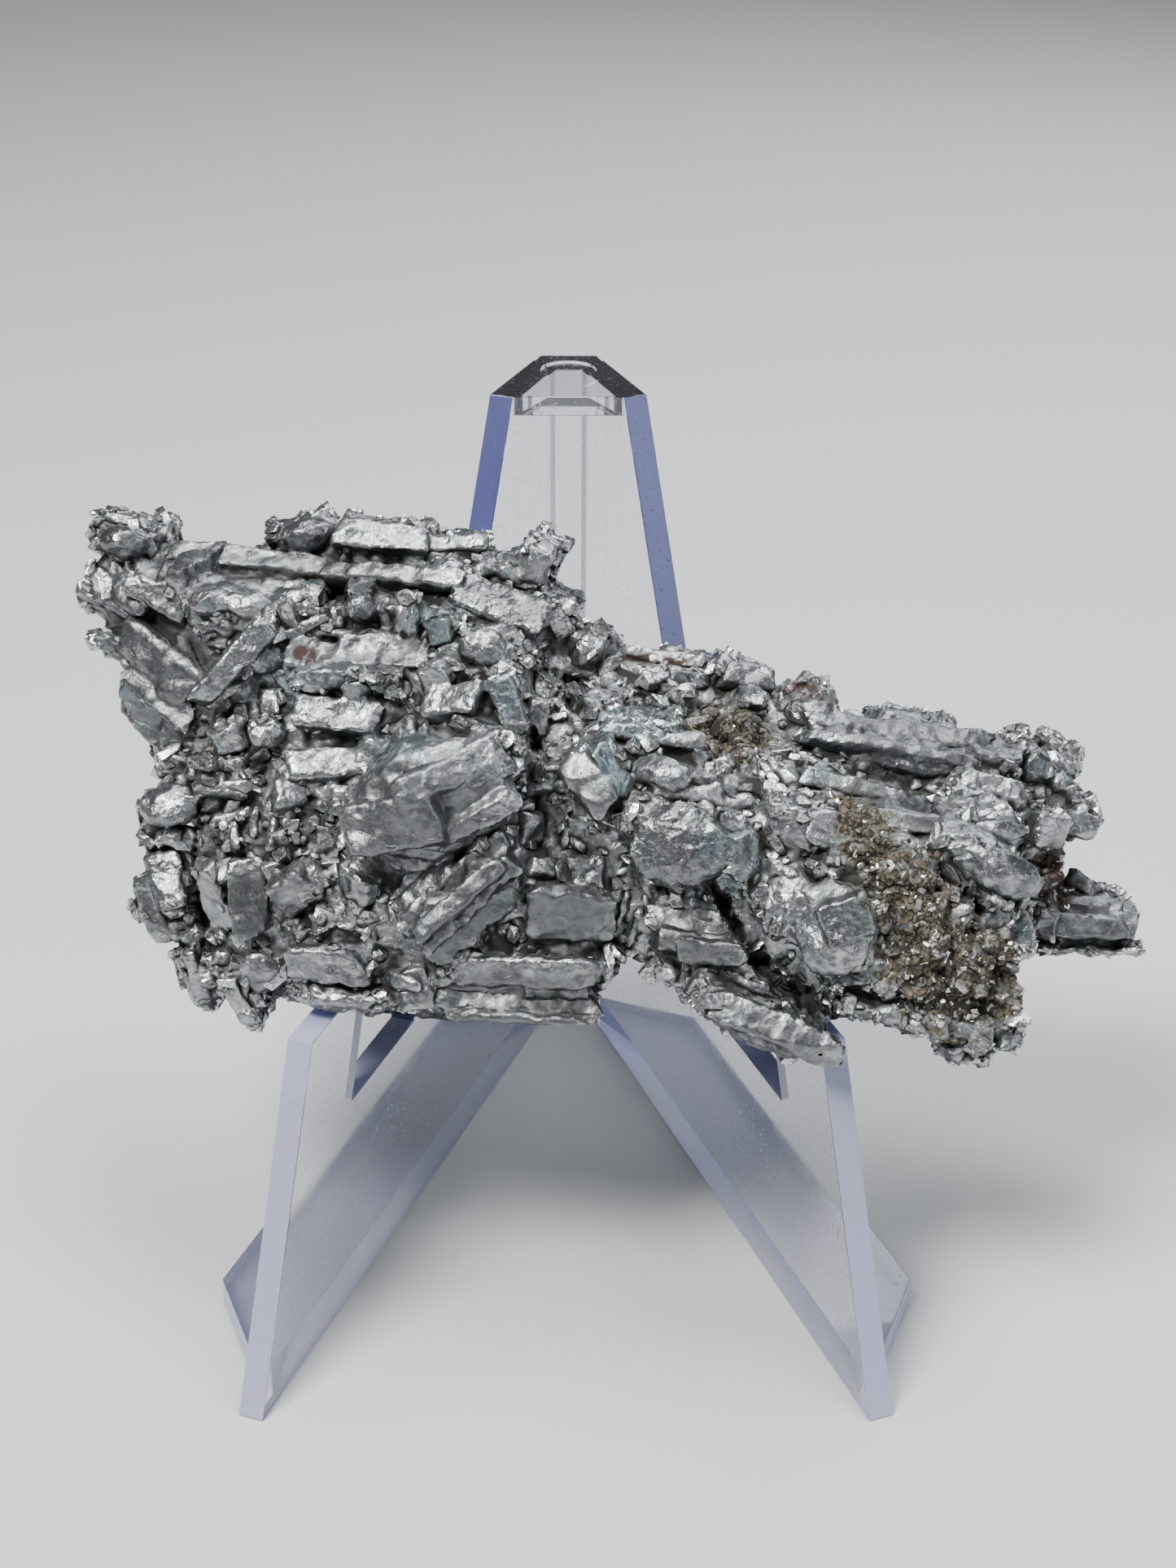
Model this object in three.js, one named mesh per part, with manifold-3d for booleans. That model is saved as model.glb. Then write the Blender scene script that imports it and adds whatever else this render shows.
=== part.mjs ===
// Meteorite end cut leaning on a one-piece clear display stand.
// Millimetres, +Z up, +Y to the back. Origin: middle of the footprint box, on the table.

import * as THREE from 'three';
import { ConvexGeometry } from 'three/addons/geometries/ConvexGeometry.js';
import { mergeVertices } from 'three/addons/utils/BufferGeometryUtils.js';
import Module from 'manifold-3d';

// ---------- driving dimensions of the stand ----------
const standHeight = 90;          // table to the top of the cap
const plate = 2.85;              // thickness of the moulded plates
const wingAngle = 20.25;         // each wing turns this far from straight ahead, degrees
const spineHalf = 1.55;          // half width of the flat strip between the wings
const spineBack = 2.85;          // how far the spine's flat back lies behind that strip
const spineBackHalf = 3.4;       // half width of the flat back
const inWing = 0.5;              // the spine and the cap reach this far into the wings
const wingReach = 88.6;          // spine to the toe, along a wing
const legLean = 0.43;            // the leg's front edge leans back this much per mm of height
const armHeight = 37.8;          // table to the top of the arm in front of the stone
const notchReach = 63.8;         // spine to the corner between ledge and arm
const armLean = 0.42;            // lean of the arm's rear edge
const ledgeHeight = 25;          // table to the ledge
const ledgeStart = 47.1;         // spine to the back end of the ledge
const restLean = 0.51;           // lean of the back rest's edge
const capThick = 2.3;            // plate that closes the top between the wings
const capMarkRadius = 3.3;       // round mould mark in the cap
const capMarkDeep = 0.3;
const capMarkBack = 2.6;         // middle of the mark, in front of the strip
const flangeWide = 9.9;          // foot flange, measured out from a wing
const flangeThick = 3.5;
const flangeRear = 6;            // spine to where the flange leaves the wing
const flangeRearRun = 9;         // length of its slanted rear end
const flangeCorner = 73;         // spine to its front corner
const flangeToe = 84.3;          // spine to where it runs back into the wing
const flangeRoot = 1;            // how far it reaches into the wing

// ---------- driving dimensions of the stone ----------
const air = 0.35;                // kept between the stone and the stand
const midDepth = 15;             // the x and y of every lump are drawn at this depth
const draft = 0.0038;            // the form narrows this much per mm nearer to the front
const heartHeight = 42;          // height on the face that the narrowing leaves in place
const rootLength = 12;           // a lump sinks this much further into the mass
const rootLean = 2.6;            // its root leans in towards the middle by up to this much
const middle = new THREE.Vector3(0, 28, 0);

const spread = rad(wingAngle);
const sawnLean = Math.atan(restLean * Math.cos(spread));
const up = new THREE.Vector3(0, 0, 1);

function rad(degrees) {
  return (degrees * Math.PI) / 180;
}

// ---------- closed meshes to solids and back ----------
const wasm = await Module();
wasm.setup();

function solidFrom(geometry) {
  const bare = geometry.clone();
  bare.deleteAttribute('normal');
  bare.deleteAttribute('uv');
  const merged = mergeVertices(bare, 1e-4);
  const mesh = new wasm.Mesh({
    numProp: 3,
    vertProperties: new Float32Array(merged.attributes.position.array),
    triVerts: new Uint32Array(merged.index.array),
  });
  return new wasm.Manifold(mesh);
}

function geometryFrom(solid) {
  const mesh = solid.getMesh();
  const geometry = new THREE.BufferGeometry();
  const corners = new Float32Array(mesh.vertProperties);
  geometry.setAttribute('position', new THREE.BufferAttribute(corners, 3));
  geometry.setIndex(new THREE.BufferAttribute(new Uint32Array(mesh.triVerts), 1));
  return geometry;
}

function joinAll(solids) {
  return solids.reduce((sum, next) => sum.add(next));
}

// The outer skin alone: hollows shut in between joined lumps are filled.
function withoutHollows(solid) {
  const skins = solid.decompose();
  return skins.reduce((largest, next) => (next.volume() > largest.volume() ? next : largest));
}

function outlineShape(points) {
  return new THREE.Shape(points.map(([x, y]) => new THREE.Vector2(x, y)));
}

function extruded(points, depth) {
  return new THREE.ExtrudeGeometry(outlineShape(points), { depth, bevelEnabled: false });
}

// ---------- the stand ----------

// A point of the plan: so far along a wing, so far out from its inner face.
function planPoint(side, along, outward) {
  const x = spineHalf + along * Math.sin(spread) + outward * Math.cos(spread);
  const y = -along * Math.cos(spread) + outward * Math.sin(spread);
  return [side * x, y];
}

// Outline of a wing, along it and up. grow swells it, for cutting clearance in the stone.
function wingOutline(grow) {
  const restTopReach = ledgeStart - restLean * (standHeight - ledgeHeight);
  const armBackTop = notchReach - armLean * (armHeight - ledgeHeight);
  const armFrontTop = wingReach - legLean * armHeight;
  return [
    [-grow, 0],
    [wingReach + grow, 0],
    [armFrontTop + grow, armHeight + grow],
    [armBackTop - grow, armHeight + grow],
    [notchReach - grow, ledgeHeight + grow],
    [ledgeStart + grow, ledgeHeight + grow],
    [restTopReach + grow, standHeight + grow],
    [-grow, standHeight + grow],
  ];
}

function wing(side, grow) {
  const along = new THREE.Vector3(side * Math.sin(spread), -Math.cos(spread), 0);
  const across = new THREE.Vector3().crossVectors(along, up);
  const firstFace = side > 0 ? plate + grow : -grow;
  const [x, y] = planPoint(side, 0, firstFace);
  const geometry = extruded(wingOutline(grow), plate + 2 * grow);
  geometry.applyMatrix4(new THREE.Matrix4().makeBasis(along, up, across).setPosition(x, y, 0));
  return solidFrom(geometry);
}

function flange(side) {
  const outline = [
    planPoint(side, flangeRear, plate - flangeRoot),
    planPoint(side, flangeRear, plate),
    planPoint(side, flangeRear + flangeRearRun, plate + flangeWide),
    planPoint(side, flangeCorner, plate + flangeWide),
    planPoint(side, flangeToe, plate),
    planPoint(side, flangeToe, plate - flangeRoot),
  ];
  return solidFrom(extruded(outline, flangeThick));
}

function mirroredPlan(rightHalf) {
  const leftHalf = rightHalf.map(([x, y]) => [-x, y]).reverse();
  return [...rightHalf, ...leftHalf];
}

function spine() {
  const outline = mirroredPlan([
    [spineHalf + inWing, 0],
    planPoint(1, inWing, plate - inWing / 2),
    [spineBackHalf, spineBack],
  ]);
  return solidFrom(extruded(outline, standHeight));
}

function cap() {
  const frontReach = ledgeStart - restLean * (standHeight - ledgeHeight);
  const outline = mirroredPlan([
    planPoint(1, frontReach, inWing),
    [spineHalf + inWing, inWing],
  ]);
  const geometry = extruded(outline, capThick);
  geometry.translate(0, 0, standHeight - capThick);
  return solidFrom(geometry);
}

// The shallow round recess in the cap.
function capMark() {
  const mark = new THREE.CylinderGeometry(capMarkRadius, capMarkRadius, 2 * capMarkDeep, 24);
  mark.rotateX(Math.PI / 2);
  mark.translate(0, -capMarkBack, standHeight);
  return solidFrom(mark);
}

function displayStand() {
  const plates = [spine(), wing(-1, 0), wing(1, 0), flange(-1), flange(1), cap()];
  return joinAll(plates).subtract(capMark());
}

// ---------- the stone ----------
// It is drawn on its sawn face: x to the right, y up the face, depth out of the face.

let diceState = 11;

function dice(low, high) {
  diceState = (diceState * 1664525 + 1013904223) % 4294967296;
  return low + ((high - low) * diceState) / 4294967296;
}

// Sets a lump on the face. Points with root = true sink back into the mass, leaning inwards.
function placed(points, x, y, out, turn, tip, yaw) {
  const narrow = 1 - draft * (out - midDepth);
  const spin = new THREE.Matrix4().makeRotationZ(rad(turn));
  spin.multiply(new THREE.Matrix4().makeRotationX(rad(tip)));
  spin.multiply(new THREE.Matrix4().makeRotationY(rad(yaw)));
  const spot = new THREE.Vector3(x * narrow, heartHeight + (y - heartHeight) * narrow, out);
  const moved = points.map((point) => point.clone().applyMatrix4(spin).add(spot));
  const rear = moved.filter((point, i) => points[i].root);
  const inward = new THREE.Vector3(middle.x - spot.x, middle.y - spot.y, 0).normalize();
  const sink = inward.multiplyScalar(dice(-0.2, 1) * rootLean);
  sink.z = -rootLength * dice(0.7, 1.25);
  const roots = rear.map((point) => point.clone().add(sink));
  return solidFrom(new ConvexGeometry([...moved, ...roots]));
}

// An angular chunk. x, y and out give the middle of its front face.
function chunk(x, y, out, [wide, high, deep], turn = 0, tip = 12, yaw = 0) {
  const chamfer = Math.min(wide, high, deep) * 0.2;
  const points = [];
  for (const sideX of [-1, 1]) {
    for (const sideY of [-1, 1]) {
      const cornerX = (sideX * wide * dice(0.98, 1.12)) / 2;
      const cornerY = (sideY * high * dice(0.96, 1.14)) / 2;
      const back = new THREE.Vector3(cornerX, cornerY, -deep);
      back.root = true;
      points.push(back);
      const frontX = cornerX - sideX * chamfer * dice(0.4, 1.2);
      const frontY = cornerY - sideY * chamfer * dice(0.4, 1.1);
      points.push(new THREE.Vector3(frontX, frontY, chamfer * dice(-0.6, 0.4)));
    }
  }
  return placed(points, x, y, out, turn, tip, yaw);
}

// A rounded lump. x, y and out give the middle of its front.
function boulder(x, y, out, [wide, high, deep], turn = 0, tip = 8, yaw = 0) {
  const size = Math.max(wide, high);
  const count = Math.min(30, Math.round(7 + 1.5 * size));
  const golden = Math.PI * (3 - Math.sqrt(5));
  const points = [];
  for (let i = 0; i < count; i += 1) {
    const level = 1 - (2 * (i + 0.5)) / count;
    const ring = Math.sqrt(1 - level * level);
    const bump = dice(0.94, 1.1);
    const px = (Math.cos(golden * i) * ring * bump * wide) / 2;
    const py = (Math.sin(golden * i) * ring * bump * high) / 2;
    const spot = new THREE.Vector3(px, py, ((level * bump - 1) * deep) / 2);
    spot.root = level < -0.3;
    points.push(spot);
  }
  return placed(points, x, y, out, turn, tip, yaw);
}

// A thin tooth that narrows towards its lower end.
function tooth(x, y, out, [wide, high, deep], turn = 0, tip = 0, yaw = 0) {
  const points = [];
  for (const sideX of [-1, 1]) {
    for (const z of [-deep, -deep * 0.3]) {
      points.push(new THREE.Vector3((sideX * wide) / 2, high / 2, z));
      points.push(new THREE.Vector3(sideX * wide * dice(0.32, 0.45), 0, z));
      points.push(new THREE.Vector3(sideX * wide * 0.14, -high / 2, z));
    }
    points.push(new THREE.Vector3(sideX * wide * dice(0.2, 0.3), high * 0.3, 0));
  }
  return placed(points, x, y, out, turn, tip, yaw);
}

// The mass behind the lumps: rings of corners, each at its own depth.
function mass(rings) {
  const points = [];
  for (const [depth, outline] of rings) {
    const narrow = 1 - draft * (depth - midDepth);
    for (const [x, y] of outline) {
      points.push(new THREE.Vector3(x * narrow, heartHeight + (y - heartHeight) * narrow, depth));
    }
  }
  return solidFrom(new ConvexGeometry(points));
}

function masses() {
  return [
    mass([
      [-2, [[-51, 51], [-50, 54], [-12, 54], [-5, 51], [-3, 20], [-40, 16], [-46, 33]]],
      [6, [[-50, 48], [-49, 54], [-12, 53], [-4, 49], [-4, 20], [-40, 17], [-46, 36]]],
      [10, [[-46, 47], [-43, 51], [-12, 51], [-5, 47], [-5, 22], [-35, 20], [-43, 36]]],
      [15, [[-38, 43], [-34, 46], [-13, 47], [-6, 43], [-6, 24], [-30, 20]]],
      [18, [[-30, 40], [-10, 42], [-8, 30], [-26, 28]]],
    ]),
    mass([
      [-2, [[-44, 30], [-2, 32], [3, 6], [-12, 2], [-30, 4], [-41, 9], [-46, 18]]],
      [8, [[-44, 28], [-2, 32], [3, 8], [-12, 4], [-29, 6], [-39, 10], [-45, 19]]],
      [13, [[-41, 27], [-4, 32], [2, 9], [-14, 7], [-29, 10], [-37, 14]]],
      [17, [[-35, 25], [-4, 32], [2, 10], [-14, 7], [-28, 10], [-35, 15]]],
      [22, [[-25, 24], [-6, 31], [0, 14], [-12, 9], [-25, 10]]],
      [25, [[-20, 27], [-8, 31], [-5, 17], [-13, 13], [-18, 15]]],
    ]),
    mass([
      [-2, [[-9, 44], [4, 42], [20, 40], [30, 36], [48, 32], [53, 27], [48, 3], [14, 8], [-8, 22]]],
      [7, [[-8, 41], [4, 40], [20, 38], [30, 34], [46, 31], [51, 25], [48, 4], [15, 9], [-6, 24]]],
      [13, [[-3, 38], [6, 38], [20, 36], [30, 32], [46, 29], [49, 24], [47, 5], [16, 9], [5, 12]]],
      [18, [[0, 34], [20, 33], [40, 28], [47, 23], [47, 6], [26, 7], [14, 10], [6, 13]]],
      [24, [[5, 30], [16, 28], [28, 26], [44, 21], [46, 7], [30, 5], [18, 10], [7, 16]]],
      [27, [[8, 24], [16, 24], [24, 22], [42, 17], [44, 8], [31, 7], [22, 12], [10, 19]]],
    ]),
    mass([
      [-1, [[46, 28], [53, 27], [54, 22], [55, 14], [50, 10]]],
      [8, [[46, 28], [52, 27], [53, 22], [53, 14], [50, 11]]],
    ]),
  ];
}

function topLeftKnob() {
  return [
    chunk(-48, 55, 9, [8.4, 2.8, 3.5], -8, 30),
    boulder(-48.7, 54.3, 14, [7.2, 4, 9]),
    chunk(-46.3, 51.5, 10.5, [5, 3.4, 8], -25),
  ];
}

function leftBlades() {
  return [
    chunk(-49.2, 48.8, 11.5, [9.8, 4.8, 8], -30, -6, -8),
    chunk(-44.7, 48.4, 14.5, [8, 2.7, 8], -30, 8),
    chunk(-49.6, 43.5, 12, [5, 2.8, 9], -38, 0),
    chunk(-44, 41.8, 14, [9, 4.6, 9], -40, -4, -14),
    chunk(-45, 37.8, 13.5, [10, 3.8, 10], -33, 0, -10),
    chunk(-46.2, 35.6, 11, [7.2, 3.6, 9], -46, 0, -8),
    chunk(-42.4, 33.9, 12.5, [4.6, 3.2, 8], -20),
  ];
}

function longSlab() {
  return [
    chunk(-42.6, 49.4, 16, [3.8, 5.6, 9], 10, 14, -24),
    chunk(-37.4, 46.6, 17, [8.6, 4.2, 5], -5, 26),
    chunk(-33.4, 46.3, 17, [3.6, 4.2, 5], 2, 26),
    chunk(-29.6, 46.2, 17.5, [6.2, 4.4, 4.5], 6, 26),
    chunk(-29.4, 52.5, 8, [6, 3.4, 3], -12, 20),
  ];
}

function upperRidge() {
  return [
    chunk(-29, 54.5, 9.5, [6.6, 3.6, 4], 12, 26),
    chunk(-23.4, 54.4, 11, [5, 4.2, 4], -28, 26),
    chunk(-19.3, 53.4, 11.5, [8, 3.6, 4.5], -4, 30),
    chunk(-12, 53.1, 11, [6.8, 2, 4], -1, 30),
    chunk(-12.6, 50.6, 15, [5.6, 2.4, 3.5], -3, 24),
    chunk(-8, 50.9, 15, [4.6, 3, 3.5], -12, 20),
    chunk(-4, 52.3, 14.5, [3.6, 4, 8], -32, 18),
  ];
}

function secondTerrace() {
  return [
    chunk(-22.6, 47.6, 18.5, [3.6, 4.2, 9], -4, 16),
    chunk(-17.6, 46.7, 19.5, [2.2, 4.6, 9], -12, 12),
    chunk(-20, 47, 18.3, [8, 1.8, 5.5], -4, 26),
    boulder(-13.7, 45.3, 20.5, [4.4, 4.8, 10], -12),
    chunk(-10.2, 45.9, 18.5, [6, 3.4, 5.5], -6, 28),
    chunk(-5.6, 46, 17.5, [5.4, 3.2, 5.5], -3, 28),
    chunk(-8.9, 43.6, 20.5, [6, 5.2, 11], 8, 14),
    chunk(-4.6, 43.8, 19.5, [3.2, 6.2, 11], 14, 4, 20),
    chunk(-1.6, 46, 14.5, [3.2, 5.4, 10], -24, 10),
    chunk(-27.4, 44.5, 17.5, [5.8, 2, 4], 20, 20),
  ];
}

function brownSpotSlab() {
  return [
    chunk(-26.8, 39.4, 21, [5.8, 3.4, 5.5], 0, 27),
    chunk(-21, 39.1, 21.4, [6.4, 3, 5.5], -5, 27),
    chunk(-13.1, 40.3, 22, [4.6, 3.8, 11], 38, 10),
    chunk(-33.6, 41.8, 17.8, [3.6, 3.8, 9], -14, 12),
    chunk(-33.6, 44.4, 19, [4.6, 2.2, 8], 26, 10),
    chunk(-36, 41.6, 19.5, [7.4, 2.8, 9], 52, 6),
  ];
}

function middleRows() {
  return [
    chunk(-26.6, 34.5, 20.5, [4.6, 3.4, 5], -3, 22),
    chunk(-22.9, 34.1, 20.8, [3.4, 3, 5], -8, 22),
    chunk(-33, 33.8, 19, [3.8, 3.2, 9], -6),
    chunk(-37.6, 33.6, 17.6, [2.6, 4, 8], -18, 6, -12),
    chunk(-27.6, 28.9, 21.4, [3.6, 3.4, 5], -2, 20),
    chunk(-23.8, 28.9, 21.4, [4.6, 3, 5], 2, 20),
    chunk(-12.2, 36.6, 23.4, [5, 3.2, 10], 28, 10),
    chunk(-8.9, 36.4, 23, [3, 3.8, 10], -28, 8),
    chunk(-6.1, 36.8, 23, [3.2, 7.2, 11], 12, 4, 10),
    chunk(-9.4, 33.9, 25, [6.6, 1.8, 10], -18, 10),
    chunk(-3, 35.6, 19.5, [2.6, 4.6, 10], -14),
  ];
}

function greatBoulder() {
  return [
    boulder(-15.4, 26.2, 31, [15.4, 12.6, 20], 24, 6),
    chunk(-8.2, 29.2, 29.4, [9.4, 5, 15], 40, 2, 8),
    chunk(-15.4, 28.3, 28, [8.6, 3, 8], -4, 24),
    chunk(-10.6, 29.8, 27.6, [4.4, 2.4, 6], -26, 20),
    chunk(-16.6, 21.4, 29.6, [5.8, 2.2, 11], 4, 4),
    chunk(-20.8, 22.4, 28, [3.4, 4, 12], -26, 4),
    chunk(-5.8, 29.6, 27, [3.2, 4.6, 11], -36, 4),
    chunk(-28.7, 27.4, 20.5, [3.4, 3.2, 9], -8),
    chunk(-25, 24.9, 21, [4.8, 2.4, 8], -3, 24),
    chunk(-24.8, 22.9, 22, [4.6, 2.2, 8], -10, 20),
  ];
}

function middleLeftChips() {
  return [
    chunk(-37, 27.6, 19, [7.4, 1.8, 9], 6, 14),
    chunk(-37.6, 30.2, 18, [5, 2.2, 8], -10, 14),
    chunk(-43, 30.6, 14.5, [4, 3.6, 8], -12),
    chunk(-36.4, 23.8, 18, [5, 3.6, 8], 14),
    boulder(-33, 24.8, 19.6, [2.6, 5.2, 9], -8),
    chunk(-35.6, 21.2, 19.4, [4.4, 2.6, 8], -14),
    chunk(-31, 21.6, 21, [3, 4, 9], 16),
    chunk(-27.9, 22.9, 21, [3.6, 2.8, 8], 24),
    chunk(-28.3, 17, 25.4, [4.8, 4.4, 10], 36, 6),
    chunk(-22.2, 17.8, 26, [3, 4.4, 10], 26, 6, 14),
    chunk(-26.6, 12.9, 24.6, [3.6, 3, 9], 14),
    chunk(-30.6, 25.8, 21.6, [4.2, 3.6, 8], -24, 10),
    chunk(-31.8, 18.2, 22.6, [3.4, 4.6, 9], 22, 6),
    boulder(-29.8, 12.4, 24.2, [4.2, 3.6, 9]),
    chunk(-23.6, 13.4, 25.4, [2.8, 3.8, 9], -16),
  ];
}

function diagonalSlabs() {
  return [
    chunk(-16.2, 17.2, 27, [9.4, 3.6, 10], 46, 2, -8),
    chunk(-12.5, 17, 28.8, [15, 3.2, 12], 43, 10),
    chunk(-10.7, 14.6, 29.6, [13.6, 4, 13], 42, 2),
    chunk(-19.4, 12, 25.6, [6, 5, 11], -22, 8),
  ];
}

function centreFacets() {
  return [
    chunk(-5, 24.8, 24.5, [3.6, 3.6, 10], -8, 16),
    chunk(-0.6, 15, 26.4, [6.6, 4.4, 12], 14, 6),
    chunk(2.4, 17.8, 26, [4.6, 5.6, 12], 10, 4, 8),
    chunk(3.2, 13.6, 26, [4, 2.6, 10], 26),
    chunk(1, 22.3, 24, [4, 4.4, 11], -14),
    chunk(-5.4, 12.6, 24.6, [4.8, 3.2, 10], 4),
  ];
}

function bottomSlab() {
  return [
    chunk(-9.6, 6.8, 25.4, [9.8, 4.8, 16], -3, 16),
    chunk(-1.4, 6.2, 25.4, [8.6, 4.6, 16], 0, 16),
    chunk(-8.6, 3.1, 25, [8, 1.4, 14], -4, 0),
    chunk(-0.8, 2.4, 25, [8, 1.5, 14], -1, 0),
    chunk(4.2, 8.2, 23.4, [2.6, 4.2, 10], -32),
    chunk(6.4, 14.8, 23.4, [2.6, 7, 11], 12, 4),
    chunk(8, 11.8, 23.4, [3.4, 3, 10], -20),
  ];
}

function lowerLeftLumps() {
  return [
    chunk(-27.6, 8.6, 24.4, [4.6, 4.4, 11], -4, 10),
    chunk(-23.4, 8.6, 24.8, [4.6, 4.2, 11], 6, 10),
    boulder(-26.4, 4.4, 25.2, [6, 3.8, 7], -16, 0),
    boulder(-21.2, 4.4, 25, [7.6, 3.4, 7], 0, 0),
    chunk(-16.6, 5.6, 25.4, [4.4, 5.4, 10], 8, 8),
  ];
}

function leftFoot() {
  return [
    chunk(-42.6, 25.2, 17.4, [5.4, 4.6, 11], -6, 16, -8),
    chunk(-45.3, 23, 14.4, [2.4, 5.8, 10], 4, 6),
    chunk(-42.4, 21.8, 16.2, [4.6, 3, 10], -22),
    chunk(-39.2, 22, 17.4, [2.2, 4.8, 10], -12, 6, 18),
    chunk(-43.2, 17.8, 15.4, [4.6, 4, 10], -34, 6),
    chunk(-44.4, 15.4, 15, [6, 1.7, 9], -40, 4),
    chunk(-45.4, 13.6, 14.4, [5.6, 2.6, 9], -50, 4),
    chunk(-42.6, 11.8, 14.4, [5.6, 2.4, 9], -24, 8),
    chunk(-37.8, 16.4, 20, [2.6, 5.4, 10], 14, 6),
    chunk(-34, 15.4, 21, [4.6, 7.2, 12], 10, 6),
    boulder(-37.3, 13, 19.6, [3.4, 3, 9]),
    tooth(-40.8, 6.6, 15, [3.4, 7.6, 8], 18),
    tooth(-36, 5, 18, [5, 8.6, 9], 22),
    tooth(-33.8, 4.4, 17.4, [3.4, 5.4, 8], -20),
    chunk(-33.4, 7.8, 19.4, [4.4, 4.2, 10], -14, 4),
    chunk(-38.4, 7.8, 16, [3.4, 3.4, 9], 8),
  ];
}

function centreBoulders() {
  return [
    boulder(2.4, 42.6, 15.6, [5.6, 5, 11], -22, 12),
    boulder(0.7, 43.6, 15, [2.8, 3.8, 8]),
    chunk(2.6, 28.4, 28, [8, 5.4, 13], -48, 4, -6),
    chunk(5, 30.8, 28, [4.4, 2.8, 11], -58, 0, 12),
    boulder(8.6, 31, 27, [6.4, 4.2, 11], -8),
    chunk(8, 33.9, 25, [8.6, 1.9, 11], 4, 12),
    chunk(12.8, 32.2, 25, [5, 2.2, 11], -42, 8),
    chunk(3.2, 36.2, 20.6, [5.6, 2.2, 10], -16, 18),
    chunk(13, 28, 27.6, [8, 2.8, 12], -8, 16),
    boulder(9.3, 22.8, 31.6, [8.6, 8.4, 17], -8),
    chunk(12.8, 22.6, 31, [6, 6.4, 14], 30, 4),
    chunk(13.4, 19.4, 30.6, [5, 3.2, 12], 24, 2),
    chunk(17, 21.6, 30.6, [2.4, 6.6, 13], -4, 4, -14),
    chunk(19.2, 21.6, 30.2, [2.6, 6, 13], 8, 4, 10),
    chunk(20.9, 23, 28.8, [1.8, 5.6, 11], -16, 4),
    boulder(18.2, 26.5, 28.2, [4.4, 2.4, 10], -12),
    chunk(20, 29.2, 25, [2.4, 4.6, 10], 16, 10),
    chunk(24.6, 23.2, 30, [6.4, 5.4, 14], -14, 10),
  ];
}

function upperRightRidge() {
  return [
    chunk(8, 40.5, 11, [5.6, 2, 4], -6, 28),
    chunk(13, 39.9, 11.6, [6.4, 2.4, 4], -12, 28),
    chunk(18.6, 39.2, 12.4, [5.6, 2.4, 4], -14, 28),
    chunk(11, 38.7, 14.6, [6.4, 1.6, 4], -14, 22),
    boulder(20.4, 36.8, 17.6, [5, 3.6, 10], 12),
    chunk(18.6, 33.6, 19.6, [3.6, 3, 9], 16),
  ];
}

function longBrightSlab() {
  return [
    boulder(26.8, 36.7, 15.8, [7.2, 5, 11]),
    chunk(29.4, 32, 18.4, [6, 3.4, 5.5], -4, 26),
    chunk(34.6, 31.2, 18.8, [6.6, 2.6, 5.5], -10, 26),
    chunk(40.4, 29.6, 19.2, [7, 3, 5.5], -15, 26),
    chunk(46.6, 30, 17.6, [6.6, 3.4, 5], -8, 24),
    chunk(38, 34.4, 12, [9, 1.2, 3], -6, 26),
    chunk(26, 30.2, 19.6, [7, 1.8, 4.5], -8, 20),
    chunk(27, 27.6, 22.6, [7, 2.2, 4.5], -4, 20),
    chunk(33.6, 26.4, 21.4, [7.4, 2, 5], -10, 26),
    chunk(37.4, 24.4, 22.6, [7, 1.9, 5], -14, 26),
    chunk(44.6, 26.4, 21.8, [5.4, 2, 4.5], -12, 22),
    chunk(36.2, 23.9, 26, [9.4, 2.2, 11], -10, 14),
    chunk(42.6, 24, 26, [4.6, 2.2, 10], 0, 16),
    chunk(47.8, 23.9, 25.4, [4.4, 4, 11], 24, 8),
  ];
}

function rightLobe() {
  return [
    boulder(44.6, 19.6, 31, [10.6, 6.2, 13], -16),
    chunk(43, 21.6, 30, [5.4, 2.4, 10], -20, 18),
    chunk(47.4, 18.8, 29.8, [3.6, 4.6, 11], 18, 4, 12),
    chunk(50.2, 13.2, 26.8, [1.9, 6, 10], 4, 4),
    chunk(47, 14.2, 29, [4.6, 3.6, 11], -42, 6),
  ];
}

function oxideMass() {
  return [
    boulder(23.6, 17.8, 31, [8.6, 5.8, 14], -6),
    boulder(28.6, 17.4, 32, [7, 6, 14]),
    chunk(21.8, 14.4, 30, [3.4, 5.4, 13], 24, 4),
    chunk(26, 12.6, 32, [7.6, 6.6, 15], -30, 4),
    chunk(31.6, 11.8, 33, [7.6, 8.6, 16], -6, 4),
    chunk(31.4, 19.6, 31, [6, 4.2, 14], -4),
    chunk(36.4, 17.4, 32, [6.4, 6.2, 15], 10, 2),
    chunk(38.4, 11.6, 32.6, [7.4, 8.2, 16], 6, 2),
    chunk(42.6, 13.6, 31.4, [4.4, 5.4, 14], -16, 4),
    chunk(44, 8.4, 31.2, [6, 7, 15], -8, 4),
    chunk(48.2, 9.6, 29, [4.4, 4.4, 13], -30, 4),
    chunk(47.8, 3.8, 28.6, [4.6, 5.6, 13], 8, 4),
    chunk(30.6, 7, 32.4, [5, 3.4, 14], 28, 4),
    chunk(36.4, 6.6, 32, [7.6, 3.6, 14], -10, 4),
    chunk(32.8, 3, 31, [7.2, 2.6, 13], -4, 0),
    chunk(38.8, 2, 30.6, [6.6, 3, 13], -12, 0),
    chunk(44.4, 0.9, 28.4, [5, 3, 11], -12, 0),
    chunk(48.6, 0.6, 26.4, [3.2, 3.4, 10], -8, 0),
    tooth(42.8, -1.2, 26, [3.4, 2.8, 7], 20),
    tooth(45.4, -1.2, 26, [3, 3, 7], -12),
    chunk(26.8, 24.4, 29, [4.6, 2.2, 12], 4, 14),
    chunk(29.6, 22.4, 29.6, [4.4, 3.4, 12], -18),
    chunk(34.4, 21.4, 29.6, [5.8, 2.6, 12], -8, 16),
  ];
}

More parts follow.
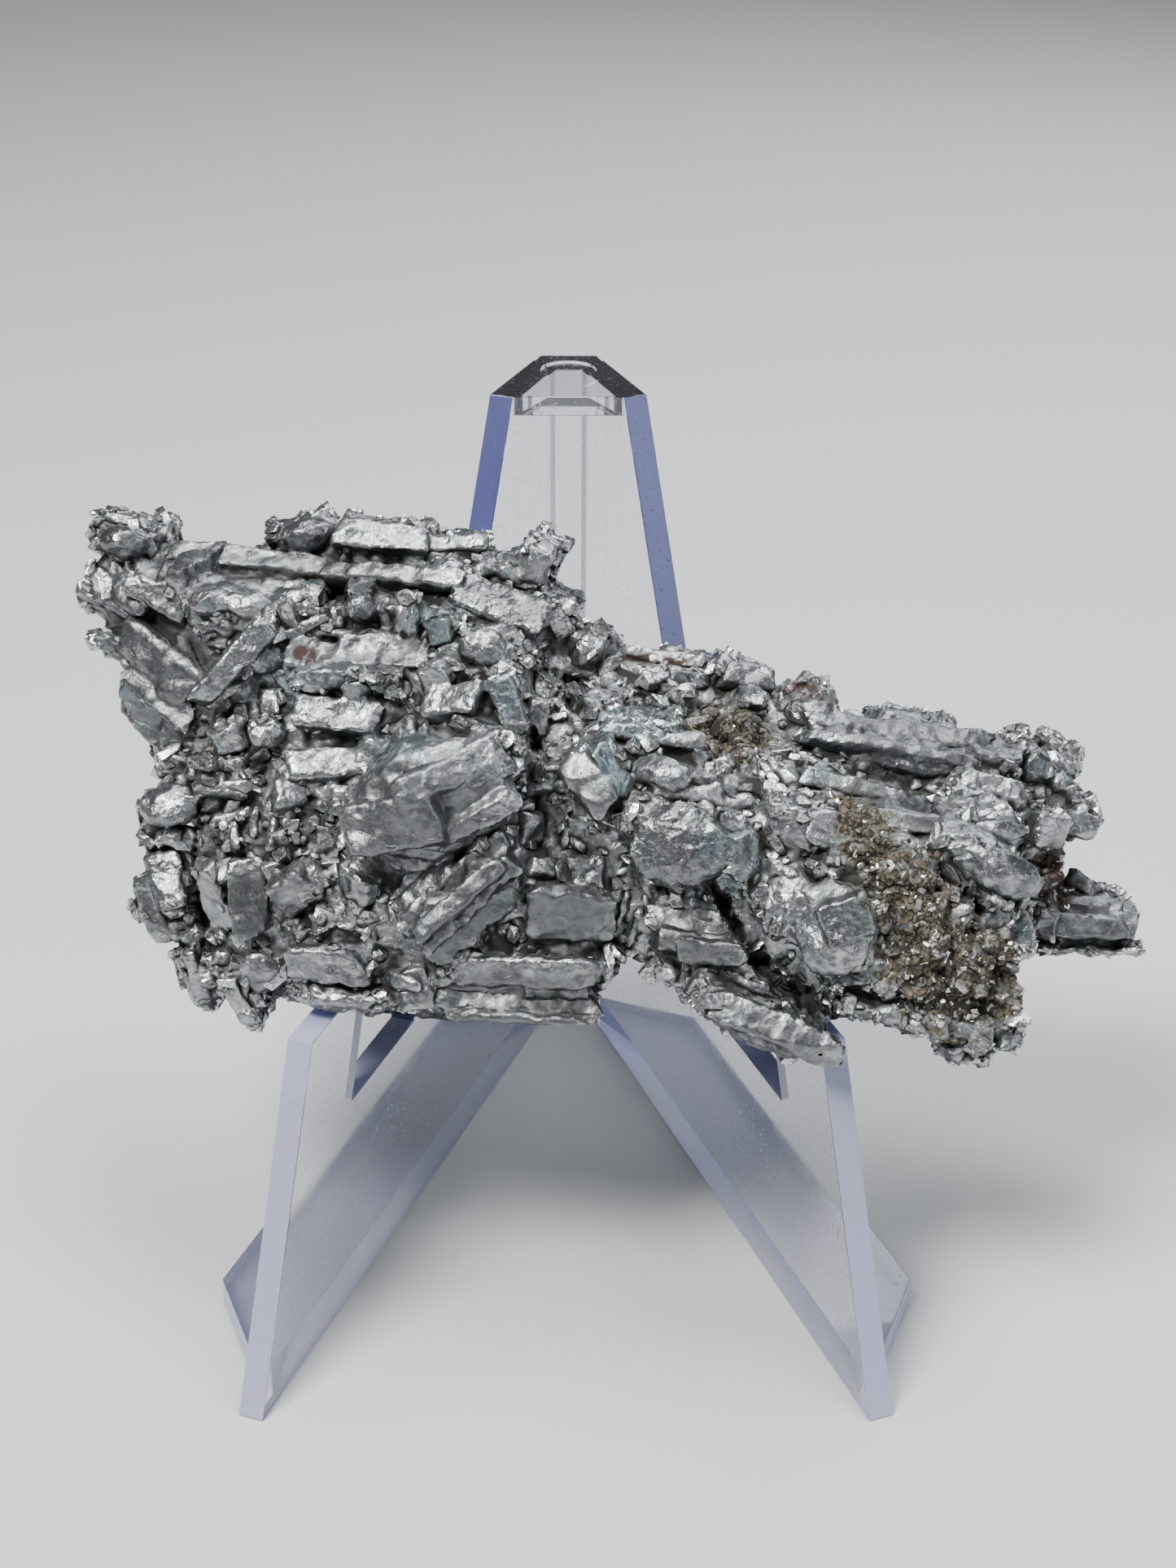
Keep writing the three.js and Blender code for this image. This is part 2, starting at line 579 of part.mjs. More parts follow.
function rightEdge() {
  return [
    chunk(51.2, 30.3, 15.4, [3, 4, 9], 24, 10),
    chunk(54, 29.8, 12.4, [4, 3.4, 9], -28, 16),
    chunk(54.4, 27, 12.6, [3.4, 3, 9], 14),
    chunk(52, 23.3, 18, [5, 4, 11], -10, 10),
    chunk(56, 23.9, 14.6, [5.4, 3, 9], 24, 12),
    chunk(52, 19.6, 15, [4.6, 4.6, 10], -16),
    chunk(56.6, 14.9, 10.6, [8.4, 1.8, 3.5], -6, 20),
    chunk(57.4, 12.4, 12.4, [11.6, 2.8, 8], -3, 18),
    chunk(57.2, 10.1, 11.4, [11.6, 0.9, 6], -1, 0),
    chunk(52.6, 12.6, 14.4, [3.6, 3.8, 9], -8),
  ];
}

function lowerMiddleSlabs() {
  return [
    chunk(14.6, 10.4, 28, [9, 2.8, 11], -4, 14),
    chunk(13.6, 13.8, 26.6, [8.4, 3, 11], -12, 18),
    chunk(11, 7, 24.6, [4, 2.6, 10], -16),
    chunk(21.4, 7, 28, [11, 2.2, 11], -24, 16),
    chunk(19.4, 2.6, 30, [11.6, 2.4, 5], -22, 26),
    chunk(25.4, 1, 30.4, [4.6, 2.4, 5], -16, 26),
    chunk(16.8, 2.7, 30, [7.4, 2.2, 9], -34, 2),
    chunk(21.4, 0.4, 30.8, [5.6, 2.9, 6], -24, 0),
    chunk(26.2, -0.4, 31, [5, 4, 5.4], 14, 0),
  ];
}

function cutFaceSide() {
  const halfSize = 120;
  const keep = new THREE.BoxGeometry(halfSize * 2, halfSize * 2, halfSize);
  keep.translate(0, 0, halfSize / 2);
  return solidFrom(keep);
}

function meteorite() {
  const lumps = [
    ...masses(),
    ...topLeftKnob(),
    ...leftBlades(),
    ...longSlab(),
    ...upperRidge(),
    ...secondTerrace(),
    ...brownSpotSlab(),
    ...middleRows(),
    ...greatBoulder(),
    ...middleLeftChips(),
    ...diagonalSlabs(),
    ...centreFacets(),
    ...bottomSlab(),
    ...lowerLeftLumps(),
    ...leftFoot(),
    ...centreBoulders(),
    ...upperRightRidge(),
    ...longBrightSlab(),
    ...rightLobe(),
    ...oxideMass(),
    ...rightEdge(),
    ...lowerMiddleSlabs(),
  ];
  const onFace = joinAll(lumps).intersect(cutFaceSide());
  const geometry = geometryFrom(onFace);
  // The sawn face leans back against the front edges of the rest.
  const right = new THREE.Vector3(1, 0, 0);
  const upFace = new THREE.Vector3(0, Math.sin(sawnLean), Math.cos(sawnLean));
  const outOfFace = new THREE.Vector3().crossVectors(right, upFace);
  const seatY = -ledgeStart * Math.cos(spread) - air;
  const seat = new THREE.Matrix4().makeBasis(right, upFace, outOfFace);
  seat.setPosition(0, seatY, ledgeHeight);
  geometry.applyMatrix4(seat);
  const cleared = solidFrom(geometry).subtract(wing(-1, air)).subtract(wing(1, air));
  return withoutHollows(cleared);
}

// ---------- the two pieces ----------
const part = new THREE.Group();

function addPiece(name, solid, material) {
  const mesh = new THREE.Mesh(geometryFrom(solid), material);
  mesh.name = name;
  part.add(mesh);
}

const clearPlastic = new THREE.MeshStandardMaterial({
  color: 0xdfe3f2,
  roughness: 0.12,
  metalness: 0,
});
const meteoriteMetal = new THREE.MeshStandardMaterial({
  color: 0x8d9192,
  roughness: 0.38,
  metalness: 0.9,
});
addPiece('display_stand', displayStand(), clearPlastic);
addPiece('meteorite', meteorite(), meteoriteMetal);

const box = new THREE.Box3().setFromObject(part);
part.position.set(-(box.min.x + box.max.x) / 2, -(box.min.y + box.max.y) / 2, -box.min.z);
part.updateMatrixWorld(true);

export default part;
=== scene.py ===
import math
import random
import bpy
from mathutils import Matrix, Vector, noise
from mathutils.bvhtree import BVHTree


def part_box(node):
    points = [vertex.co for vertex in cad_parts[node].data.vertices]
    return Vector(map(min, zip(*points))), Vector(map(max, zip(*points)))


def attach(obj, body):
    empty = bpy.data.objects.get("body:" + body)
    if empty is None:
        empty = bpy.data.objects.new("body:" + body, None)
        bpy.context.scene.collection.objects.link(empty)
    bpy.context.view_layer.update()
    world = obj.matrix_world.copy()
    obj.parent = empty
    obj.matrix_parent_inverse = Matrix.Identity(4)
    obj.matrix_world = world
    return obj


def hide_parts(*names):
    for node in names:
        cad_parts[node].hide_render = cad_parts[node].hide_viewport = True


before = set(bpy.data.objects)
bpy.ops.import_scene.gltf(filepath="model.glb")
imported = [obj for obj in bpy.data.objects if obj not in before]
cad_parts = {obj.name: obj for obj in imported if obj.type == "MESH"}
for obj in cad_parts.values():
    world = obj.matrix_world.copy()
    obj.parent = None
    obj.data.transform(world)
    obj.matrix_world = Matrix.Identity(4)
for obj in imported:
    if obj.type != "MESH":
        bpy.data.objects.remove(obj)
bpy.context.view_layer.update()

mm = 0.001

# where the sawn face of the stone lies, worked out from the stand as it is moulded
seat = {
    "wingAngle": 20.25,     # degrees that each wing turns from straight ahead
    "spineBack": 2.85,      # mm, the spine's thickness
    "ledgeStart": 47.1,     # mm along a wing to the back end of the ledge
    "ledgeHeight": 25,
    "restLean": 0.51,       # lean of the rest's front edge, as a slope
    "air": 0.35,            # mm between the stone and the stand
}
standLow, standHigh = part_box("display_stand")
spread = math.radians(seat["wingAngle"])
standMiddle = (standLow.x + standHigh.x) / 2
stripY = standHigh.y - seat["spineBack"] * mm
sawnLean = math.atan(seat["restLean"] * math.cos(spread))
outOfFace = Vector((0, -math.cos(sawnLean), math.sin(sawnLean)))
upFace = Vector((0, math.sin(sawnLean), math.cos(sawnLean)))
faceStart = Vector((
    standMiddle,
    stripY - (seat["ledgeStart"] * math.cos(spread) + seat["air"]) * mm,
    seat["ledgeHeight"] * mm,
))


# a place given on the sawn face: across it, up it and out of it, in mm
def onFace(across, up, out):
    return faceStart + Vector((across * mm, 0, 0)) + upFace * (up * mm) + outOfFace * (out * mm)


# the same the other way: how far out of the face a point is, in metres
def outOf(point):
    return (point - faceStart).dot(outOfFace)


# and how far across and up it, in mm
def acrossAndUp(point):
    start = point - faceStart
    return start.x / mm, start.dot(upFace) / mm


# where a place on the face lies from x, y, along and beside a line turned by some degrees
def turnedFrom(across, up, x, y, turn):
    angle = math.radians(turn)
    dx = (across - x) * math.cos(angle) + (up - y) * math.sin(angle)
    dy = (up - y) * math.cos(angle) - (across - x) * math.sin(angle)
    return dx, dy


def clamp(value, low, high):
    return min(high, max(low, value))


def onlySelect(obj):
    bpy.ops.object.select_all(action="DESELECT")
    obj.select_set(True)
    bpy.context.view_layer.objects.active = obj


def editAll():
    bpy.ops.object.mode_set(mode="EDIT")
    bpy.ops.mesh.select_all(action="SELECT")


def useModifier(obj, kind, **settings):
    onlySelect(obj)
    modifier = obj.modifiers.new(kind.lower(), kind)
    for name, value in settings.items():
        setattr(modifier, name, value)
    bpy.ops.object.modifier_apply(modifier=modifier.name)


def copyOfNode(node, name):
    obj = bpy.data.objects.new(name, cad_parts[node].data.copy())
    bpy.context.scene.collection.objects.link(obj)
    obj.data.materials.clear()
    onlySelect(obj)
    editAll()
    bpy.ops.mesh.remove_doubles(threshold=0.002 * mm)
    bpy.ops.object.mode_set(mode="OBJECT")
    return obj


def treeOf(mesh):
    return BVHTree.FromPolygons([v.co for v in mesh.vertices], [f.vertices for f in mesh.polygons])


view = {
    "lens": 54.08,          # mm
    "sensor": 36,           # mm high
    "fromMiddle": 0.41,     # mm to the right of the stand's middle
    "fromStrip": 273.8,     # mm in front of the spine
    "height": 175.6,
    "lookDown": 27.5,       # degrees, as are the next two
    "roll": 0.31,
    "turn": -0.46,
}


def addCamera():
    bpy.ops.object.camera_add()
    camera = bpy.context.object
    camera.name = "camera"
    camera.data.sensor_fit = "VERTICAL"
    camera.data.sensor_height = view["sensor"]
    camera.data.lens = view["lens"]
    camera.data.clip_start = 0.01
    spot = Vector((
        standMiddle + view["fromMiddle"] * mm,
        stripY - view["fromStrip"] * mm,
        view["height"] * mm,
    ))
    turn = Matrix.Rotation(math.radians(view["turn"]), 4, "Z")
    tilt = Matrix.Rotation(math.radians(90 - view["lookDown"]), 4, "X")
    roll = Matrix.Rotation(math.radians(view["roll"]), 4, "Z")
    camera.matrix_world = Matrix.Translation(spot) @ turn @ tilt @ roll
    bpy.context.scene.camera = camera
    print("camera ready")


studio = {
    "floorSize": 8,         # metres
    "floorDrop": 0.1,       # mm, keeps the floor off the stand's underside
    "floorColor": (0.62, 0.63, 0.63, 1),
    "floorRough": 0.7,
    "worldColor": (0.55, 0.58, 0.62, 1),
    "worldStrength": 0.32,
    "lightAim": (0, 0, 0.05),
}
# name, place, size, power and colour of each soft light; all face the stone
softLights = [
    ("key", (-0.26, -0.26, 0.62), (0.24, 0.20), 7, (1, 0.985, 0.96)),
    ("fill", (0.55, -0.40, 0.38), (0.30, 0.40), 1.2, (0.93, 0.96, 1)),
    ("top", (0.12, 0.06, 0.80), (0.40, 0.30), 5, (1, 1, 1)),
    ("rim", (0.30, 0.55, 0.45), (0.40, 0.25), 2, (0.9, 0.95, 1)),
]


def addStudio():
    bpy.ops.mesh.primitive_plane_add(size=studio["floorSize"], location=(0, 0, -studio["floorDrop"] * mm))
    floor = bpy.context.object
    floor.name = "floor"
    material, tree, shader = newMaterial("paleFloor")
    shader.inputs["Base Color"].default_value = studio["floorColor"]
    shader.inputs["Roughness"].default_value = studio["floorRough"]
    floor.data.materials.append(material)
    world = bpy.data.worlds.new("studio")
    world.use_nodes = True
    background = world.node_tree.nodes["Background"]
    background.inputs["Color"].default_value = studio["worldColor"]
    background.inputs["Strength"].default_value = studio["worldStrength"]
    bpy.context.scene.world = world
    for name, spot, size, power, color in softLights:
        bpy.ops.object.light_add(type="AREA", location=spot)
        light = bpy.context.object
        light.name = name
        light.data.shape = "RECTANGLE"
        light.data.size, light.data.size_y = size
        light.data.energy = power
        light.data.color = color
        aim = Vector(studio["lightAim"]) - Vector(spot)
        light.rotation_euler = aim.to_track_quat("-Z", "Y").to_euler()
    print("studio ready")


def newMaterial(name):
    material = bpy.data.materials.new(name)
    material.use_nodes = True
    tree = material.node_tree
    return material, tree, tree.nodes["Principled BSDF"]


def wire(tree, source, socket):
    if isinstance(source, bpy.types.NodeSocket):
        tree.links.new(source, socket)
    else:
        socket.default_value = source


def objectPlace(tree):
    return tree.nodes.new("ShaderNodeTexCoord").outputs["Object"]


# the same coordinates moved to a spot, turned and stretched
def placedAt(tree, place, spot=(0, 0, 0), turn=(0, 0, 0), size=(1, 1, 1)):
    node = tree.nodes.new("ShaderNodeMapping")
    node.vector_type = "TEXTURE"
    tree.links.new(place, node.inputs["Vector"])
    node.inputs["Location"].default_value = spot
    node.inputs["Rotation"].default_value = turn
    node.inputs["Scale"].default_value = size
    return node.outputs["Vector"]


# a texture node whose features are about as many mm across as the size says
def textureNode(tree, kind, place, size):
    node = tree.nodes.new(kind)
    tree.links.new(place, node.inputs["Vector"])
    node.inputs["Scale"].default_value = 1 / (size * mm)
    return node


# the same coordinates shaken about, so that a pattern on them has ragged lines
def shaken(tree, place, size, reach):
    waves = textureNode(tree, "ShaderNodeTexNoise", place, size)
    waves.inputs["Detail"].default_value = 3
    node = tree.nodes.new("ShaderNodeVectorMath")
    node.operation = "MULTIPLY_ADD"
    tree.links.new(waves.outputs["Color"], node.inputs[0])
    node.inputs[1].default_value = (reach * mm, reach * mm, reach * mm)
    tree.links.new(place, node.inputs[2])
    return node.outputs["Vector"]


def ridgesOf(tree, place, size):
    node = textureNode(tree, "ShaderNodeTexNoise", place, size)
    node.noise_type = "RIDGED_MULTIFRACTAL"
    node.normalize = True
    node.inputs["Detail"].default_value = 5
    node.inputs["Offset"].default_value = 1
    node.inputs["Gain"].default_value = 2
    return node.outputs["Fac"]


def noiseOf(tree, place, size, detail=4, rough=0.55, twist=0):
    node = textureNode(tree, "ShaderNodeTexNoise", place, size)
    node.inputs["Detail"].default_value = detail
    node.inputs["Roughness"].default_value = rough
    node.inputs["Distortion"].default_value = twist
    return node.outputs["Fac"]


def cellsOf(tree, place, size, feature="F1"):
    node = textureNode(tree, "ShaderNodeTexVoronoi", place, size)
    node.feature = feature
    return node.outputs["Distance"]


# a soft step from start to end as the source goes from low to high
def steps(tree, source, low, high, start=0, end=1):
    node = tree.nodes.new("ShaderNodeMapRange")
    node.interpolation_type = "SMOOTHSTEP"
    tree.links.new(source, node.inputs["Value"])
    node.inputs["From Min"].default_value = low
    node.inputs["From Max"].default_value = high
    node.inputs["To Min"].default_value = start
    node.inputs["To Max"].default_value = end
    return node.outputs["Result"]


def calc(tree, operation, first, second):
    node = tree.nodes.new("ShaderNodeMath")
    node.operation = operation
    wire(tree, first, node.inputs[0])
    wire(tree, second, node.inputs[1])
    return node.outputs["Value"]


def times(tree, first, second):
    return calc(tree, "MULTIPLY", first, second)


def mixColor(tree, share, first, second):
    node = tree.nodes.new("ShaderNodeMix")
    node.data_type = "RGBA"
    wire(tree, share, node.inputs[0])
    wire(tree, first, node.inputs[6])
    wire(tree, second, node.inputs[7])
    return node.outputs[2]


def mixValue(tree, share, first, second):
    node = tree.nodes.new("ShaderNodeMix")
    wire(tree, share, node.inputs[0])
    wire(tree, first, node.inputs[2])
    wire(tree, second, node.inputs[3])
    return node.outputs[0]


# depth in mm; below 0 the bump goes inward
def bumpOf(tree, height, depth, onto=None, strength=1):
    node = tree.nodes.new("ShaderNodeBump")
    node.invert = depth < 0
    node.inputs["Distance"].default_value = abs(depth) * mm
    wire(tree, strength, node.inputs["Strength"])
    tree.links.new(height, node.inputs["Height"])
    if onto:
        tree.links.new(onto, node.inputs["Normal"])
    return node.outputs["Normal"]


def painted(tree, name):
    node = tree.nodes.new("ShaderNodeAttribute")
    node.attribute_name = name
    return node.outputs["Fac"]


def addPaint(obj, name, shares):
    layer = obj.data.attributes.new(name, "FLOAT", "POINT")
    layer.data.foreach_set("value", shares)


def addGroup(obj, name, shares):
    group = obj.vertex_groups.new(name=name)
    for index, share in enumerate(shares):
        if share > 0:
            group.add([index], share, "REPLACE")


# places on the sawn face: across, up, half width, half height, turn in degrees
# calm, matt stretches
calmPlaces = [
    (-15.4, 26.5, 7.5, 6.5, 20), (-11.5, 15.8, 9.5, 3.6, 43), (-0.5, 15, 4.6, 3.6, 0),
    (-4.6, 5.6, 9.5, 3.6, -2), (-34, 15.4, 2.6, 4, 10), (-46, 44, 7, 4, -32), (-46, 37, 6, 4, -38),
    (-37, 52, 10, 2.4, -4), (-22, 50.5, 8, 1.6, -4), (39, 33, 10, 2.6, -9), (-23, 41.5, 7, 1.2, -3),
    (58, 13, 6, 3, -3), (13, 13, 5, 3, -10), (21, 3, 6, 2, -24), (34, 26.4, 7, 1.6, -12),
    (2.6, 28.6, 3.6, 2.2, -48),
]
# the crumbling brown oxide, and the lighter crumbs further up
oxidePlaces = [
    (37.4, 12, 5, 9.4, 18), (31, 23.5, 3, 5, 30), (43, 8.6, 4, 5, 10), (34, 18, 4, 4, 0),
    (17.6, 34.2, 4.6, 2.8, -12), (54, 18.6, 3, 3.6, 0),
]
rustPlaces = [
    (-28.1, 42.2, 1.5, 1.2, 0), (54.5, 18, 3, 3.4, 0), (26.6, 38.4, 2.4, 1, -10), (8, 42, 6, 0.6, -4),
]
bluePlaces = [
    (-14.2, 45.4, 3, 1.8, -10), (4.6, 30.4, 3, 1.6, -50), (-30, 40, 2, 4, 0), (28, 13, 4, 4, 0),
    (-20, 33, 6, 2.4, 0), (18, 22, 3, 4, 0), (-8, 39, 2.6, 3, 0), (8, 35, 5, 2, 0), (27, 31, 3, 2, 0),
]
# narrow dark clefts that run down between the blocks
cleftPlaces = [
    (17.2, 14.4, 3.8, 0.5, -60), (21, 9.2, 3.8, 0.8, -52), (26, 5.2, 4, 1, -36),
    (0.8, 37.6, 0.8, 2.6, 10), (-3.4, 31, 0.6, 3, 0),
    (40.5, 18, 3.4, 0.6, -45), (-40.2, 16, 0.6, 3.6, 0), (-25.4, 48.4, 1.5, 0.8, 0),
]
# a place ends this many half sizes out, over this share of them; its rim waves are this many mm long
rim = {"end": 1.25, "fade": 0.5, "waves": 1.6}


# how far inside one of the places a point is, 0 to 1, with ragged rims
def within(point, places, ragged=0.35):
    across, up = acrossAndUp(point)
    wobble = noise.noise(point / (rim["waves"] * mm)) * ragged
    best = 0
    for x, y, halfWide, halfHigh, turn in places:
        dx, dy = turnedFrom(across, up, x, y, turn)
        reach = math.hypot(dx / halfWide, dy / halfHigh) + wobble
        best = max(best, clamp((rim["end"] - reach) / rim["fade"], 0, 1))
    return best


# a block's start, about 2 across: cuts and radius of a sphere, and how far its corners wander
masterKinds = {
    "boulder": (2, 1.06, 0.1),
    "lump": (2, 1.08, 0.16),
    "shard": (1, 1.1, 0.34),
    "slab": (0, 1, 0.42),   # no cuts: a cube with chamfered edges
}


def addMaster(kind, seed, edge=0.16):
    cuts, radius, uneven = masterKinds[kind]
    if cuts:
        bpy.ops.mesh.primitive_ico_sphere_add(subdivisions=cuts, radius=radius)
    else:
        bpy.ops.mesh.primitive_cube_add(size=radius * 2)
    master = bpy.context.object
    editAll()
    bpy.ops.transform.vertex_random(offset=uneven, seed=seed)
    if not cuts:
        bpy.ops.mesh.bevel(offset=edge, segments=1, affect="EDGES")
    bpy.ops.object.mode_set(mode="OBJECT")
    return master


def dropMasters(masters):
    for master in masters:
        bpy.data.objects.remove(master)


# picks faces of a mesh at random, the larger ones more often, and a point on each
def spotsOn(obj, faces, count, dice):
    reach = []
    total = 0
    for face in faces:
        total += face.area
        reach.append(total)
    spots = []
    for face in dice.choices(faces, cum_weights=reach, k=count):
        corners = [obj.data.vertices[i].co for i in face.vertices]
        shares = [dice.random() + 0.05 for corner in corners]
        spot = sum((c * s for c, s in zip(corners, shares)), Vector()) / sum(shares)
        spots.append((spot, face.normal.copy()))
    return spots


# a copy of the master's mesh, put in place by its vertices, with a tone of its own
def layPiece(master, spot, aim, sizes, tone):
    mesh = master.data.copy()
    mesh.transform(Matrix.Translation(spot) @ aim @ Matrix.Diagonal((*sizes, 1)))
    piece = bpy.data.objects.new("laid", mesh)
    bpy.context.scene.collection.objects.link(piece)
    addPaint(piece, "tone", [tone] * len(mesh.vertices))
    return piece


# out of the surface, leaning a little and spun anyhow
def looseAim(normal, dice):
    lean = Vector([dice.uniform(-0.4, 0.4) for axis in range(3)])
    spin = Matrix.Rotation(dice.uniform(0, math.tau), 4, "Z")
    return (normal + lean).to_track_quat("Z", "Y").to_matrix().to_4x4() @ spin


def joinAll(pieces, name):
    onlySelect(pieces[0])
    for piece in pieces:
        piece.select_set(True)
    bpy.ops.object.join()
    joined = bpy.context.object
    joined.name = name
    return joined


stoneSize = {
    "coreReach": 2.4,       # mm, the core bridges hollows up to twice this wide
    "coreSunk": 1.0,        # and lies this far below the lumps
    "coreVoxel": 0.8,
    "coreBack": 3,          # and stays this far off the sawn face
    "voxel": 0.36,
    "triangles": 130000,
    "tone": 0.45,           # between the blocks, which have tones of their own
    "smooth": 36,           # degrees, sharper edges stay sharp
    "sawnWithin": 0.3,      # mm, a face this near to the sawn plane
    "sawnFacing": -0.96,    # and turned to the stand by more than this is sawn metal
}


# a smoother body just under the lumps, so that no hollow runs deep between them
def makeCore():
    core = copyOfNode("meteorite", "core")
    reach = stoneSize["coreReach"] * mm
    sunk = stoneSize["coreSunk"] * mm
    # out by the reach, back in two steps and on down, each time on an even mesh
    for change in (reach, -reach * 0.6, -reach * 0.4 - sunk, 0):
        useModifier(core, "REMESH", mode="VOXEL", voxel_size=stoneSize["coreVoxel"] * mm)
        if change:
            useModifier(core, "DISPLACE", strength=change, mid_level=0)
    editAll()
    bpy.ops.mesh.bisect(plane_co=faceStart + outOfFace * stoneSize["coreBack"] * mm, plane_no=outOfFace,
                        use_fill=True, clear_inner=True)
    bpy.ops.object.mode_set(mode="OBJECT")
    return core


def makeBase():
    core = makeCore()
    base = copyOfNode("meteorite", "meteoriteStone")
    joined = joinAll([base, core], "meteoriteStone")
    useModifier(joined, "REMESH", mode="VOXEL", voxel_size=stoneSize["voxel"] * mm)
    print("base:", len(joined.data.polygons), "faces before it is thinned")
    return joined


blockSize = {
    "edge": 0.42,           # mm, the chamfer along a block's edges
    "proud": 0.3,           # how much of its depth stands out
    "felt": 0.6,            # share of its half sizes at which it feels the surface
    "steepest": 0.6,        # slope
    "jump": 3,              # mm, a larger step under it is taken as a gap
    "rayFrom": 90,          # mm out from the sawn face
    "bare": 0.85,           # share of its half sizes where no chip lies on it
    "clear": 0.8,           # mm, nothing is laid this near to the stand
    "voxel": 0.3,
    "triangles": 190000,
}
